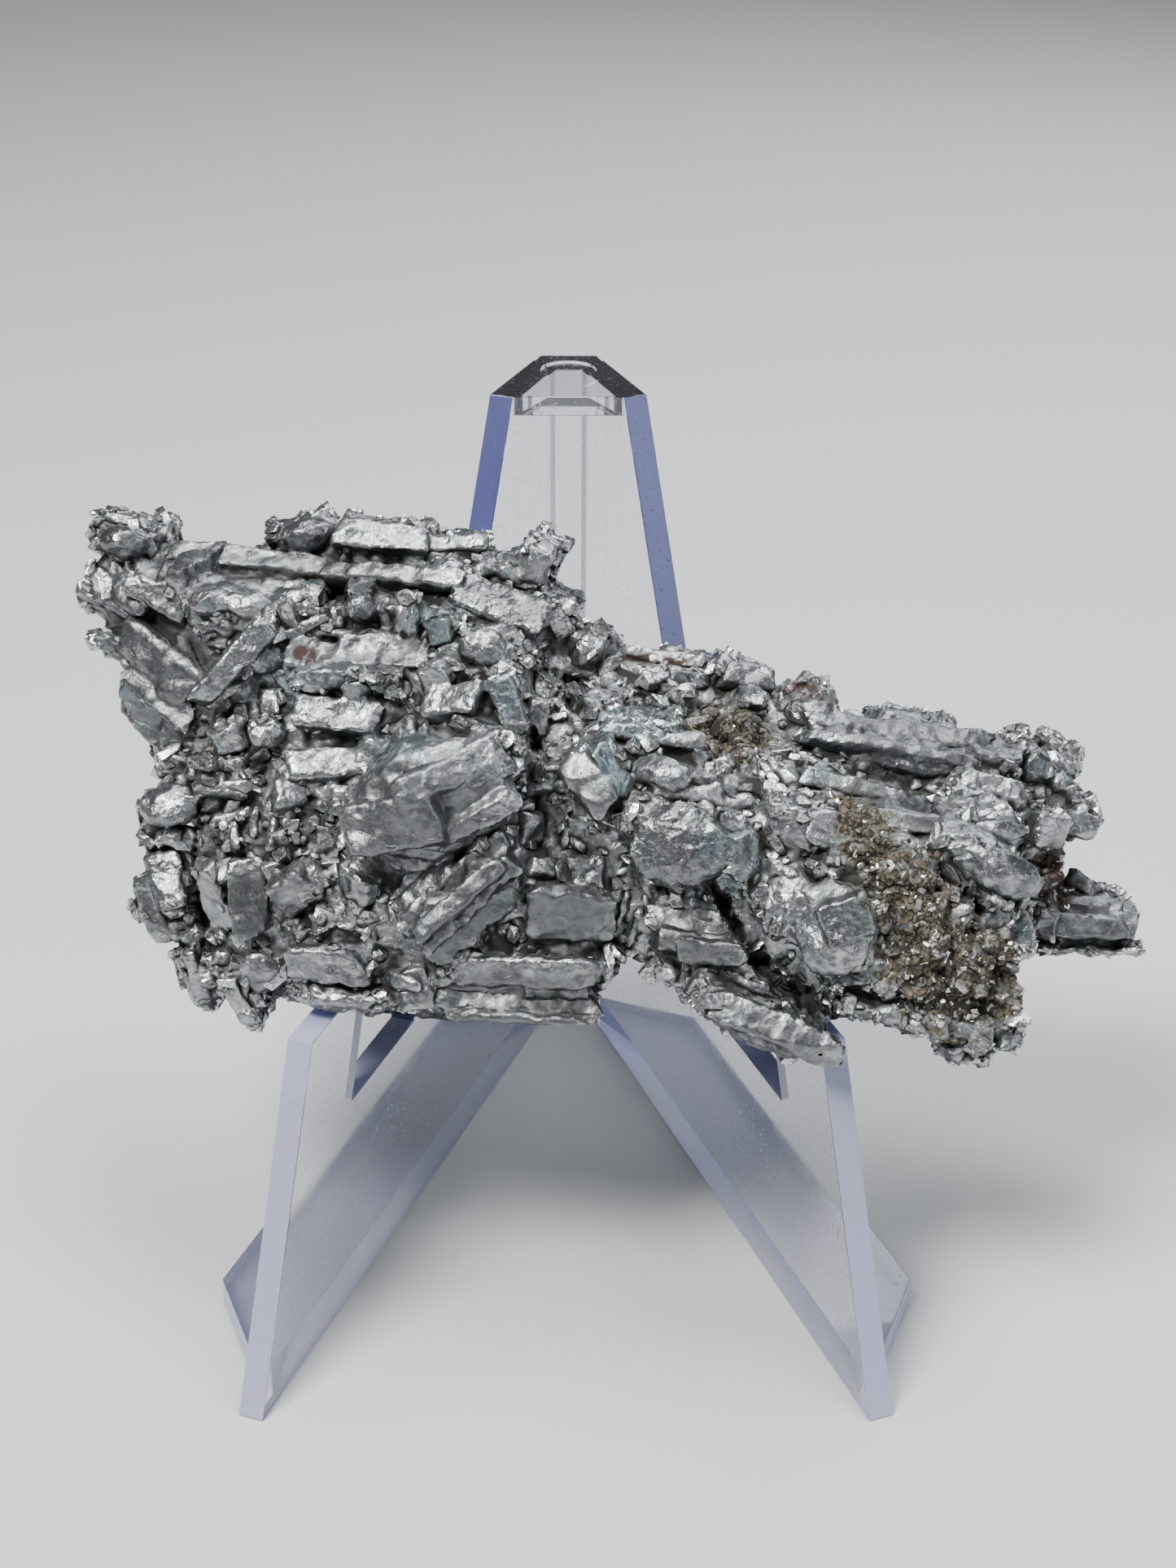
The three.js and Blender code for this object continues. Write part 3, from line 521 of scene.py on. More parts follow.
# the blocks that show on the face: kind, across, up, half width, height and depth, turn in degrees
blocks = [
    ("lump", -48.5, 54.6, 2.6, 1.6, 1.6, -10), ("slab", -49, 57, 3.4, 0.8, 1.2, -12),
    ("slab", -49.2, 50, 4.6, 2.2, 0.7, -33), ("slab", -44.8, 48.6, 3.6, 1.1, 0.8, -32),
    ("slab", -37, 52.2, 8.2, 2.1, 1.3, -5), ("slab", -43.6, 51, 1, 2, 0.8, -16),
    ("slab", -45, 41.6, 6, 2.4, 0.8, -40), ("slab", -46, 40.2, 6, 0.5, 1.2, -40),
    ("slab", -44.4, 38, 4.6, 1.6, 0.8, -40), ("slab", -46.4, 36, 3.8, 1.6, 0.8, -52),
    ("slab", -36, 41, 5.8, 1.3, 1.8, 47), ("lump", -32.5, 41.8, 2.2, 1.9, 1.4, 0),
    ("lump", -38, 43.6, 1.4, 1, 1, 10), ("slab", -41.4, 42.4, 0.7, 2.4, 0.9, 22),
    ("lump", -38.5, 48.3, 2.4, 1.5, 1.2, 10), ("lump", -34.4, 47.9, 2.4, 1.6, 1.2, -5),
    ("lump", -39.2, 45.2, 1, 0.9, 0.8, 0), ("lump", -37, 45, 1.1, 1.2, 0.9, 0),
    ("slab", -34.4, 45.4, 1.7, 0.7, 0.9, -6), ("slab", -28.4, 42.5, 1.7, 2, 1.3, -4),
    ("slab", -25.8, 42.2, 1, 1.7, 1, 4), ("slab", -22.4, 42.2, 2.4, 2, 1.2, -3),
    ("slab", -17.6, 42.3, 2.5, 1.9, 1.2, -6), ("slab", -22, 44.3, 7, 0.5, 1.5, -2),
    ("slab", -28.5, 45.2, 2.8, 0.8, 1, 20), ("lump", -22.4, 47.2, 1.9, 1.6, 1.3, 0),
    ("slab", -24.4, 35.7, 4.7, 1.9, 1.2, -8), ("slab", -25.4, 30.5, 4, 1.6, 1.2, 0),
    ("lump", -32, 33.4, 2, 1.6, 1.2, 0), ("slab", -36.4, 33.2, 1.9, 1.8, 1.1, 25),
    ("slab", -32.4, 37.1, 1.1, 1.7, 1, 10), ("slab", -35.3, 35.8, 0.7, 1.3, 0.9, 5),
    ("lump", -22.6, 38.4, 1.7, 1.1, 1, -8), ("slab", -25.6, 27.7, 2.7, 0.6, 0.9, -3),
    ("slab", -25.4, 26.1, 2, 0.7, 0.9, -12), ("slab", -29.6, 27.4, 1.6, 1.5, 1.2, 8),
    ("slab", -20.4, 55.3, 4.8, 1.6, 1.2, -5), ("slab", -12.1, 54.6, 3.4, 1, 1.2, 0),
    ("lump", -29, 55.9, 3, 1.8, 1.6, 15), ("slab", -3.4, 52, 1.4, 1.9, 1.2, -15),
    ("lump", -13, 51.6, 2, 1.1, 1, 0), ("lump", -9.4, 51.6, 1.5, 1.2, 1, 10),
    ("slab", -6, 51, 2, 0.8, 0.9, -8), ("slab", -17.2, 52.2, 1.7, 0.6, 0.8, -5),
    ("slab", -7.2, 47.6, 5.4, 2.3, 1.3, -20), ("lump", -9, 42.8, 2.4, 2.3, 1.3, 0),
    ("lump", 1.8, 42.4, 1.6, 2.1, 1.5, -25), ("lump", 3.7, 43.4, 0.9, 1.3, 1, 0),
    ("slab", -19.6, 46.2, 0.7, 1.7, 1, 6), ("slab", -18, 46, 0.6, 1.6, 0.9, -4),
    ("slab", -16.6, 45.8, 0.6, 1.6, 0.9, 8), ("slab", -13.6, 44.8, 1.5, 1.6, 1.2, 12),
    ("slab", -14.2, 39.9, 1.5, 1.6, 1.3, 28), ("slab", -12.4, 37.2, 3, 1.7, 1, 15),
    ("slab", -6.2, 36.8, 1.4, 3.2, 1, 18), ("slab", -3.2, 35.6, 1.2, 1.8, 1.1, -8),
    ("slab", -17.3, 34.4, 1.7, 1.4, 1, 20), ("lump", -21, 32.4, 1.8, 1.5, 1.2, 0),
    ("boulder", -14, 26.8, 8.6, 6.2, 3, 22), ("lump", -8.4, 31.4, 3.4, 1.6, 1.2, -16),
    ("lump", -15.6, 32.4, 3.6, 1.3, 1.1, 6),
    ("slab", 2.2, 28.9, 3.6, 1.8, 1, -48), ("slab", 4.9, 30, 3.4, 1.1, 1.2, -52),
    ("slab", -11, 16.7, 5.6, 1.1, 1, 41), ("slab", -9.2, 14.6, 5.8, 1.3, 1, 41),
    ("slab", -14.6, 17.8, 4.6, 1.6, 0.9, 42), ("slab", -3, 19.5, 1.6, 1.1, 1.6, -8),
    ("slab", -3.8, 23.8, 1.6, 1.8, 1.2, 4), ("slab", -6.1, 15.6, 1.9, 1.5, 1, 22),
    ("slab", 0.3, 15.2, 4.2, 3.2, 1.1, -5), ("slab", 3.3, 14, 2, 0.3, 1.2, 55),
    ("slab", -5.4, 8.6, 8.2, 1.6, 0.9, -2), ("slab", -5.4, 5.6, 8.4, 1.2, 1, -3),
    ("slab", -5, 3.9, 7.6, 0.6, 0.9, -2), ("lump", -17.6, 7.7, 2.4, 1.2, 1, -12),
    ("slab", 6, 15, 0.5, 3, 0.8, -14), ("slab", 7.1, 13.4, 0.5, 2.6, 0.8, -22),
    ("lump", 8.4, 13.7, 1, 1, 0.9, 0), ("boulder", 11.4, 22.2, 5.3, 4.4, 2, 0),
    ("slab", 18, 21.7, 1.8, 2.5, 1.2, 4), ("lump", 9.6, 30.1, 3.4, 1.9, 1.2, -15),
    ("slab", 9, 33.6, 4.8, 0.9, 1, -8), ("slab", 13, 27.6, 3.6, 1, 1, -8),
    ("lump", 18.3, 26.8, 1.9, 1.2, 1, 0), ("boulder", 22.2, 17, 3.2, 3.6, 1.6, 10),
    ("boulder", 27, 14.4, 4.2, 5, 1.8, 12), ("slab", 13, 14.4, 4.6, 1.5, 0.9, -4),
    ("slab", 15.6, 11.4, 3.6, 1.3, 1, -6), ("slab", 21.4, 3.6, 7.2, 1.8, 0.9, -23),
    ("slab", 27, 0.6, 2.2, 2.2, 1, -10), ("slab", 20.4, 7.4, 6, 0.6, 0.9, -20),
    ("slab", 34.6, 3, 6.4, 1.6, 0.9, -7), ("slab", 36, 34.2, 9.6, 1.3, 1, -8),
    ("slab", 34.8, 32.2, 10, 0.9, 1.3, -11), ("lump", 36.4, 30.5, 5.2, 1, 1.2, -11),
    ("slab", 45.6, 28, 3.3, 1.2, 1.2, -12), ("slab", 32.6, 27.6, 7, 1.1, 0.9, -14),
    ("slab", 36.2, 24.6, 4.4, 1.1, 1.1, -8), ("slab", 27, 24, 3.4, 2, 0.9, -10),
    ("boulder", 44.8, 19.6, 5, 2.5, 1.9, -22), ("lump", 45.6, 23.8, 3.4, 1.3, 1, 0),
    ("slab", 52.3, 23.6, 2.3, 1.9, 1.3, -6), ("slab", 56, 24, 1.9, 1.4, 1.2, -12),
    ("lump", 51.4, 30, 1.7, 1.8, 1.2, 0), ("lump", 54, 28.8, 1.8, 1.8, 1.1, 20),
    ("slab", 57.6, 12.6, 4.6, 1.3, 1, -4), ("slab", 57.8, 16.8, 1.9, 1, 0.9, -30),
    ("lump", 26.6, 36.2, 2.8, 1.9, 1.3, 0), ("slab", 19.8, 39.9, 2.8, 1.4, 1.1, -8),
    ("slab", 11, 42, 4.6, 0.8, 0.9, -7), ("slab", 13.6, 39.6, 2.6, 0.8, 0.8, -12),
    ("boulder", -43.2, 26.3, 3.2, 2.7, 1.6, 0), ("slab", -43.6, 18, 2, 3.6, 0.8, 22),
    ("slab", -45.4, 14, 1.2, 4.2, 0.7, 16), ("slab", -38, 16.2, 1.5, 3.7, 1.3, 8),
    ("slab", -33.8, 16.2, 2.3, 4.1, 0.9, 8), ("slab", -28.8, 17.1, 2.4, 2.5, 1.1, 28),
    ("slab", -22.4, 18, 2.3, 1.7, 1.1, -35), ("lump", -37.4, 9.4, 1.3, 1.1, 1, 0),
    ("lump", -33.2, 8, 2, 2.5, 1.1, 10), ("slab", -35.6, 4.2, 1, 2.4, 0.9, 20),
    ("slab", -40.6, 7, 0.9, 3, 0.9, 18), ("slab", -25.6, 9.2, 4.2, 2, 1.1, 0),
    ("lump", -24, 5.7, 4.6, 1, 1, 0), ("slab", -31.6, 23.4, 0.6, 2.4, 0.9, 6),
    ("slab", -33.8, 24, 0.5, 2, 0.8, -5), ("slab", -35.6, 22.6, 0.6, 1.8, 0.8, 8),
    ("slab", -39, 29, 2.6, 0.8, 0.9, -10), ("slab", -37, 27.4, 3, 0.6, 1.1, -5),
    ("slab", -35, 52.6, 9.4, 1.6, 2.2, -6), ("slab", -20.4, 50.6, 8, 1.2, 2.2, -5),
    ("slab", -12.4, 29.8, 6, 1.5, 4.4, 26), ("slab", -16.6, 24.6, 5, 2.6, 4.4, 8),
    ("slab", -10, 26, 4.6, 1.1, 4.2, 30), ("slab", 28.4, 15.4, 2.6, 2.2, 2.9, 20),
]


# remembers the tones of a mesh, so that they can be painted back after it is remeshed
def toneFinder(obj):
    tones = [obj.data.attributes["tone"].data[f.vertices[0]].value for f in obj.data.polygons]
    tree = treeOf(obj.data)
    return lambda spot: tones[tree.find_nearest(spot)[2]]


def surfaceAt(tree, across, up):
    hit = tree.ray_cast(onFace(across, up, blockSize["rayFrom"]), -outOfFace)[0]
    return outOf(hit) if hit else None


# a direction along the surface, given across and up the face and rising out of it by a slope
def alongFace(way, slope):
    return Vector((1, 0, 0)) * way.x + upFace * way.y + outOfFace * slope


# where a block sits and how it leans, felt at its middle and at four points round it
def blockSeat(tree, across, up, wide, high, deep, turn):
    turned = math.radians(turn)
    along = Vector((math.cos(turned), math.sin(turned)))
    beside = Vector((-along.y, along.x))
    reach = blockSize["felt"]
    levels = []
    for line in (along * wide, beside * high):
        for step in (line * -reach, line * reach):
            levels.append(surfaceAt(tree, across + step.x, up + step.y))
    known = [felt for felt in levels + [surfaceAt(tree, across, up)] if felt is not None]
    if len(known) < 3:
        return None
    level = sorted(known)[len(known) // 2]
    jump = blockSize["jump"] * mm
    levels = [level if felt is None or abs(felt - level) > jump else felt for felt in levels]
    left, right, below, above = levels
    steepest = blockSize["steepest"]
    slopeAlong = clamp((right - left) / (2 * reach * wide * mm), -steepest, steepest)
    slopeBeside = clamp((above - below) / (2 * reach * high * mm), -steepest, steepest)
    xAxis = alongFace(along, slopeAlong).normalized()
    zAxis = xAxis.cross(alongFace(beside, slopeBeside)).normalized()
    aim = Matrix((xAxis, zAxis.cross(xAxis), zAxis)).transposed().to_4x4()
    return onFace(across, up, level / mm) + zAxis * deep * mm * (2 * blockSize["proud"] - 1), aim


# the blocks sit on the stone's surface and lean the way it leans
def makeBlocks(tree, nearStand):
    dice = random.Random(31)
    pieces = []
    for number, (kind, across, up, wide, high, deep, turn) in enumerate(blocks):
        seated = blockSeat(tree, across, up, wide, high, deep, turn)
        if seated is None:
            continue
        spot, aim = seated
        if nearStand.find_nearest(spot)[3] < (max(high, deep) + blockSize["clear"]) * mm:
            continue
        master = addMaster(kind, number + 5, blockSize["edge"] / min(wide, high, deep) * 0.5)
        pieces.append(layPiece(master, spot, aim, (wide * mm, high * mm, deep * mm), dice.random()))
        dropMasters([master])
    joined = joinAll(pieces, "meteoriteBlocks")
    toneOf = toneFinder(joined)
    useModifier(joined, "REMESH", mode="VOXEL", voxel_size=blockSize["voxel"] * mm)
    print("blocks laid:", len(pieces), "with", len(joined.data.polygons), "faces")
    return joined, toneOf


chipSize = {
    "count": 4600,          # tries, many of them fall on a block or a calm stretch
    "low": 0.35,            # half sizes in mm
    "high": 1.4,
    "slabs": 3,             # how many different ones there are of each kind
    "shards": 14,
    "sunk": 0.15,           # share of its half size
    "bareFrom": 6,          # mm, nearer to the sawn face they may lie on blocks too
    "faces": -0.6,          # none lie where the surface is turned to the stand by more than this
}


# whether a place on the face lies well under one of the blocks
def underBlock(spot):
    across, up = acrossAndUp(spot)
    for kind, x, y, wide, high, deep, turn in blocks:
        dx, dy = turnedFrom(across, up, x, y, turn)
        if abs(dx) < wide * blockSize["bare"] and abs(dy) < high * blockSize["bare"]:
            return True
    return False


def makeChips(base, nearStand):
    dice = random.Random(20)
    masters = [addMaster("slab", 40 + i) for i in range(chipSize["slabs"])]
    masters += [addMaster("shard", 50 + i) for i in range(chipSize["shards"])]
    faces = [f for f in base.data.polygons if f.normal.dot(outOfFace) > chipSize["faces"]]
    pieces = []
    for spot, normal in spotsOn(base, faces, chipSize["count"], dice):
        half = dice.triangular(chipSize["low"], chipSize["high"], chipSize["low"]) * mm
        if nearStand.find_nearest(spot)[3] < half * 2 + blockSize["clear"] * mm:
            continue
        if outOf(spot) < half * 1.8 or within(spot, calmPlaces, 0.2) > 0.3:
            continue
        inFront = outOf(spot) > chipSize["bareFrom"] * mm and normal.dot(outOfFace) > 0.2
        if inFront and underBlock(spot):
            continue
        sizes = (half * dice.uniform(0.8, 1.5), half * dice.uniform(0.5, 0.9), half * dice.uniform(0.5, 0.9))
        spot -= normal * half * chipSize["sunk"]
        pieces.append(layPiece(dice.choice(masters), spot, looseAim(normal, dice), sizes, dice.random()))
    dropMasters(masters)
    joined = joinAll(pieces, "meteoriteChips")
    print("chips laid:", len(pieces), "with", len(joined.data.polygons), "faces")
    return joined


# mm that each texture moves the surface by
relief = {
    "warp": 1.1,            # slow waves through the base and the chips
    "blockWarp": 0.7,
    "cracks": 0.3,
    "folds": 0.2,
    "nibbles": 0.5,         # breaks up the blocks' straight edges
    "blockFolds": 0.08,
    "cleft": 2.2,
    "cleftShare": 0.25,     # but no deeper than this share of the stone's thickness there
}


def newTexture(name, kind, size, **settings):
    texture = bpy.data.textures.new(name, kind)
    texture.noise_scale = size * mm
    for key, value in settings.items():
        setattr(texture, key, value)
    return texture


def displace(obj, texture, strength, middle=0.6, direction="NORMAL"):
    useModifier(obj, "DISPLACE", texture=texture, texture_coords="LOCAL", direction=direction,
                strength=strength * mm, mid_level=middle, vertex_group="free")


# mm: nothing moves this near to the stand or to the sawn face, and all does a little further off
held = {"byStand": 0.45, "standFade": 1.6, "bySawn": 0.15, "sawnFade": 1.2}


# 1 where the surface may move, 0 by the stand and on the sawn face
def freeShare(point, nearStand):
    gap = nearStand.find_nearest(point)[3]
    offStand = clamp((gap - held["byStand"] * mm) / (held["standFade"] * mm), 0, 1)
    return offStand * clamp((outOf(point) - held["bySawn"] * mm) / (held["sawnFade"] * mm), 0, 1)


def openClefts(piece, nearStand):
    for vertex in piece.data.vertices:
        share = within(vertex.co, cleftPlaces, 0.9)
        if share > 0:
            deep = min(relief["cleft"] * mm, outOf(vertex.co) * relief["cleftShare"])
            vertex.co -= outOfFace * deep * share * freeShare(vertex.co, nearStand)


def thinOut(piece, triangles):
    share = triangles / (2 * len(piece.data.polygons))
    if share < 1:
        useModifier(piece, "DECIMATE", ratio=share)


def roughen(base, laidBlocks, laidChips, nearStand):
    warp = newTexture("warp", "CLOUDS", 4.6, noise_depth=1, cloud_type="COLOR")
    nibbles = newTexture("nibbles", "CLOUDS", 1.7, noise_depth=1, cloud_type="COLOR")
    folds = newTexture("folds", "MUSGRAVE", 2.2, musgrave_type="RIDGED_MULTIFRACTAL", octaves=4)
    cracks = newTexture("cracks", "VORONOI", 4.2, weight_1=-1, weight_2=1, use_color_ramp=True)
    cracks.color_ramp.elements[0].color = (0, 0, 0, 1)
    cracks.color_ramp.elements[1].position = 0.09
    cracks.color_ramp.elements[1].color = (1, 1, 1, 1)
    warps = ((base, relief["warp"]), (laidBlocks, relief["blockWarp"]), (laidChips, relief["warp"]))
    for piece, strength in warps:
        addGroup(piece, "free", [freeShare(v.co, nearStand) for v in piece.data.vertices])
        displace(piece, warp, strength, 0.5, "RGB_TO_XYZ")
    displace(base, cracks, relief["cracks"], 1)
    displace(base, folds, relief["folds"])
    displace(laidBlocks, nibbles, relief["nibbles"], 0.5, "RGB_TO_XYZ")
    displace(laidBlocks, folds, relief["blockFolds"])
    for piece in (base, laidBlocks, laidChips):
        openClefts(piece, nearStand)
    print("surfaces roughened")


creviceShade = {"rays": 12, "reach": 3, "off": 0.1}      # the lengths in mm


# the share of rays that meet more stone close by: painted shade, dark in the crevices
def paintCreviceShade(pieces):
    dice = random.Random(3)
    corners = []
    faces = []
    for piece in pieces:
        start = len(corners)
        corners += [v.co for v in piece.data.vertices]
        faces += [[start + i for i in f.vertices] for f in piece.data.polygons]
    tree = BVHTree.FromPolygons(corners, faces)
    rays = [Vector([dice.gauss(0, 1) for axis in range(3)]).normalized() for count in range(creviceShade["rays"])]
    for piece in pieces:
        shares = []
        for vertex in piece.data.vertices:
            start = vertex.co + vertex.normal * creviceShade["off"] * mm
            met = 0
            for ray in rays:
                aim = ray if ray.dot(vertex.normal) > 0 else -ray
                if tree.ray_cast(start, aim, creviceShade["reach"] * mm)[0]:
                    met += 1
            shares.append(met / len(rays))
        addPaint(piece, "creviceShade", shares)
    print("crevices painted")


def insideBox(stone):
    low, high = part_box("meteorite")
    for vertex in stone.data.vertices:
        for axis in range(3):
            vertex.co[axis] = clamp(vertex.co[axis], low[axis], high[axis])


# name, places and raggedness of each layer that the metal reads
paints = [
    ("calm", calmPlaces, 0.35), ("oxide", oxidePlaces, 0.6), ("rust", rustPlaces, 0.5),
    ("blue", bluePlaces, 0.8),
]


def paintPlaces(piece):
    for name, places, ragged in paints:
        addPaint(piece, name, [within(v.co, places, ragged) for v in piece.data.vertices])


def makeStone():
    nearStand = treeOf(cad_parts["display_stand"].data)
    base = makeBase()
    laidBlocks, toneOf = makeBlocks(treeOf(base.data), nearStand)
    laidChips = makeChips(base, nearStand)
    roughen(base, laidBlocks, laidChips, nearStand)
    thinOut(base, stoneSize["triangles"])
    thinOut(laidBlocks, blockSize["triangles"])
    addPaint(base, "tone", [stoneSize["tone"]] * len(base.data.vertices))
    addPaint(laidBlocks, "tone", [toneOf(v.co) for v in laidBlocks.data.vertices])

    look = stoneMetal()
    paintCreviceShade([base, laidBlocks, laidChips])
    for piece in (base, laidBlocks, laidChips):
        insideBox(piece)
        piece.vertex_groups.clear()
        paintPlaces(piece)
        piece.data.materials.clear()
        piece.data.materials.append(look)
        onlySelect(piece)
        bpy.ops.object.shade_smooth_by_angle(angle=math.radians(stoneSize["smooth"]))
        print(piece.name, len(piece.data.polygons), "faces")
    base.data.materials.append(sawnMetal())
    for face in base.data.polygons:
        turned = face.normal.dot(outOfFace) < stoneSize["sawnFacing"]
        if turned and outOf(face.center) < stoneSize["sawnWithin"] * mm:
            face.material_index = 1
    return base, laidBlocks, laidChips


metal = {
    "bright": (0.46, 0.472, 0.48, 1),
    "dull": (0.145, 0.152, 0.16, 1),
    "matt": (0.125, 0.13, 0.135, 1),
    # painted shade for faces turned down
    "under": (0.07, 0.075, 0.08, 1),
    # painted highlight for the flecks and the edge glints
    "fleckAndHighlight": (0.78, 0.78, 0.77, 1),
    "blue": (0.22, 0.33, 0.365, 1),
    # painted shade for the crevices and pits, with some dirt
    "creviceShadeAndDirt": (0.016, 0.015, 0.013, 1),
    "brown": (0.022, 0.017, 0.012, 1),
    "gold": (0.17, 0.145, 0.095, 1),
    "rust": (0.028, 0.009, 0.006, 1),
    "sawnDark": (0.38, 0.385, 0.39, 1),
    "sawnLight": (0.52, 0.525, 0.53, 1),
}
# mm across
grainSize = {
    "broad": 7, "middle": 1.5, "fine": 0.35, "grains": 0.8, "ridges": 2.6,
    "stray": 2.4, "pits": 0.5, "pitPatch": 1.8, "hair": 3,
}
# roughness
gloss = {"dull": 0.4, "bright": 0.28, "shine": 0.2, "calm": 0.43, "brown": 0.7, "dark": 0.8, "spread": 0.06}
# mm deep
bumps = {"grains": 0.09, "ridges": -0.07, "fine": 0.03, "hair": 0.04, "pits": 0.06}


def stoneMetal():
    material, tree, shader = newMaterial("meteoriteMetal")
    place = objectPlace(tree)
    rough = shaken(tree, place, 1.2, 0.9)
    calm = painted(tree, "calm")
    tone = painted(tree, "tone")
    broad = noiseOf(tree, place, grainSize["broad"], 3, 0.5)
    middle = noiseOf(tree, place, grainSize["middle"], 5, 0.6, 0.6)
    fine = noiseOf(tree, place, grainSize["fine"], 4, 0.6)
    lively = calc(tree, "SUBTRACT", 1, times(tree, calm, 0.6))

    # the silver, patchy and in each block's own tone
    color = mixColor(tree, steps(tree, middle, 0.3, 0.72), metal["dull"], metal["bright"])
    color = mixColor(tree, steps(tree, tone, 0.55, 1, 0, 0.5), color, metal["bright"])
    color = mixColor(tree, steps(tree, tone, 0.4, 0, 0, 0.7), color, metal["matt"])
    color = mixColor(tree, times(tree, calm, 0.75), color, metal["matt"])
    patch = times(tree, painted(tree, "blue"), steps(tree, broad, 0.35, 0.6))
    stray = steps(tree, noiseOf(tree, place, grainSize["stray"], 4, 0.6), 0.56, 0.68, 0, 0.5)
    bluish = times(tree, calc(tree, "MAXIMUM", patch, stray), 0.5)
    color = mixColor(tree, bluish, color, metal["blue"])

    # painted highlights: bright flecks, and glints along convex edges that are partly real wear
    fleckHighlights = times(tree, steps(tree, fine, 0.6, 0.68), steps(tree, middle, 0.45, 0.6))
    shape = tree.nodes.new("ShaderNodeNewGeometry")
    edgeWearAndHighlight = times(tree, steps(tree, shape.outputs["Pointiness"], 0.53, 0.6), steps(tree, fine, 0.4, 0.55))
    shine = times(tree, calc(tree, "MAXIMUM", fleckHighlights, edgeWearAndHighlight), lively)
    color = mixColor(tree, times(tree, shine, 0.7), color, metal["fleckAndHighlight"])
    # faces turned down are painted darker: painted shade
    facing = tree.nodes.new("ShaderNodeSeparateXYZ")
    tree.links.new(shape.outputs["Normal"], facing.inputs["Vector"])
    under = steps(tree, facing.outputs["Z"], 0.1, -0.6, 0, 0.7)
    color = mixColor(tree, under, color, metal["under"])

    # brown oxide, rust, and painted shade with some dirt in the crevices and pits
    brown = mixColor(tree, steps(tree, fine, 0.48, 0.62), metal["brown"], metal["gold"])
    brownShare = times(tree, painted(tree, "oxide"), steps(tree, middle, 0.3, 0.5))
    color = mixColor(tree, brownShare, color, brown)
    rust = times(tree, painted(tree, "rust"), steps(tree, middle, 0.4, 0.5))
    color = mixColor(tree, rust, color, metal["rust"])
    pits = steps(tree, cellsOf(tree, rough, grainSize["pits"]), 0.08, 0.17, 1, 0)
    pitPatch = steps(tree, noiseOf(tree, place, grainSize["pitPatch"], 3), 0.46, 0.56)
    pitShare = times(tree, pits, pitPatch)
    # crevices and pits are painted dark: painted shade, with some dirt
    dark = steps(tree, painted(tree, "creviceShade"), 0.36, 0.8)
    dark = calc(tree, "MAXIMUM", dark, times(tree, pitShare, 0.7))
    color = mixColor(tree, dark, color, metal["creviceShadeAndDirt"])
    tree.links.new(color, shader.inputs["Base Color"])

    dullness = mixValue(tree, steps(tree, middle, 0.35, 0.7), gloss["dull"], gloss["bright"])
    dullness = mixValue(tree, shine, dullness, gloss["shine"])
    dullness = mixValue(tree, calm, dullness, gloss["calm"])
    grainy = steps(tree, fine, 0.35, 0.65, -gloss["spread"], gloss["spread"])
    dullness = calc(tree, "ADD", dullness, grainy)
    dullness = mixValue(tree, calc(tree, "MAXIMUM", brownShare, rust), dullness, gloss["brown"])
    dullness = mixValue(tree, dark, dullness, gloss["dark"])
    tree.links.new(dullness, shader.inputs["Roughness"])
    body = mixValue(tree, brownShare, 1, 0.3)
    body = mixValue(tree, dark, body, 0.2)
    body = mixValue(tree, rust, body, 0.1)
    tree.links.new(body, shader.inputs["Metallic"])

    hairPlace = shaken(tree, place, 2, 1.6)
    hair = steps(tree, cellsOf(tree, hairPlace, grainSize["hair"], "DISTANCE_TO_EDGE"), 0, 0.02)
    hair = calc(tree, "MAXIMUM", hair, steps(tree, broad, 0.42, 0.46))
    normal = bumpOf(tree, cellsOf(tree, rough, grainSize["grains"]), bumps["grains"], None, lively)
    normal = bumpOf(tree, ridgesOf(tree, rough, grainSize["ridges"]), bumps["ridges"], normal, lively)
    normal = bumpOf(tree, fine, bumps["fine"], normal)
    normal = bumpOf(tree, hair, bumps["hair"], normal, calm)
    normal = bumpOf(tree, calc(tree, "SUBTRACT", 1, pitShare), bumps["pits"], normal)
    tree.links.new(normal, shader.inputs["Normal"])
    return material


# the flat back, ground after sawing: fine lines all one way
def sawnMetal():
    material, tree, shader = newMaterial("sawnMetal")
    place = objectPlace(tree)
    tilt = (math.radians(90) - sawnLean, 0, math.radians(8))
    lines = placedAt(tree, place, faceStart, tilt, (14, 0.5, 1))
    grain = noiseOf(tree, lines, 0.35, 5, 0.6)
    cloud = noiseOf(tree, place, 9, 4)
    color = mixColor(tree, cloud, metal["sawnDark"], metal["sawnLight"])
    spots = steps(tree, noiseOf(tree, place, 2.6, 5, 0.65), 0.66, 0.74)
    color = mixColor(tree, times(tree, spots, 0.7), color, metal["rust"])
    tree.links.new(color, shader.inputs["Base Color"])
    tree.links.new(mixValue(tree, spots, 0.3, 0.65), shader.inputs["Roughness"])
    shader.inputs["Metallic"].default_value = 1
    tree.links.new(bumpOf(tree, grain, 0.03), shader.inputs["Normal"])
    return material


crumb = {
    "count": 1900,
    "masters": 6,
    "low": 0.12,            # half sizes in mm
    "high": 0.4,
    "front": 8,             # mm, none lie nearer to the sawn face
    "dark": (0.02, 0.016, 0.012, 1),
    "brown": (0.13, 0.11, 0.075, 1),
    "bright": (0.66, 0.65, 0.62, 1),
}


def crumbMaterial():
    material, tree, shader = newMaterial("oxideCrumbs")
    place = objectPlace(tree)
    grit = steps(tree, noiseOf(tree, place, 0.9, 3), 0.38, 0.62)
    color = mixColor(tree, grit, crumb["dark"], crumb["brown"])
    bright = steps(tree, painted(tree, "tone"), 0.7, 0.74)
    color = mixColor(tree, bright, color, crumb["bright"])
    tree.links.new(color, shader.inputs["Base Color"])
    tree.links.new(mixValue(tree, bright, 0.75, 0.3), shader.inputs["Roughness"])
    tree.links.new(mixValue(tree, bright, 0.2, 1), shader.inputs["Metallic"])
    tree.links.new(bumpOf(tree, noiseOf(tree, place, 0.3, 3), 0.05), shader.inputs["Normal"])
    return material


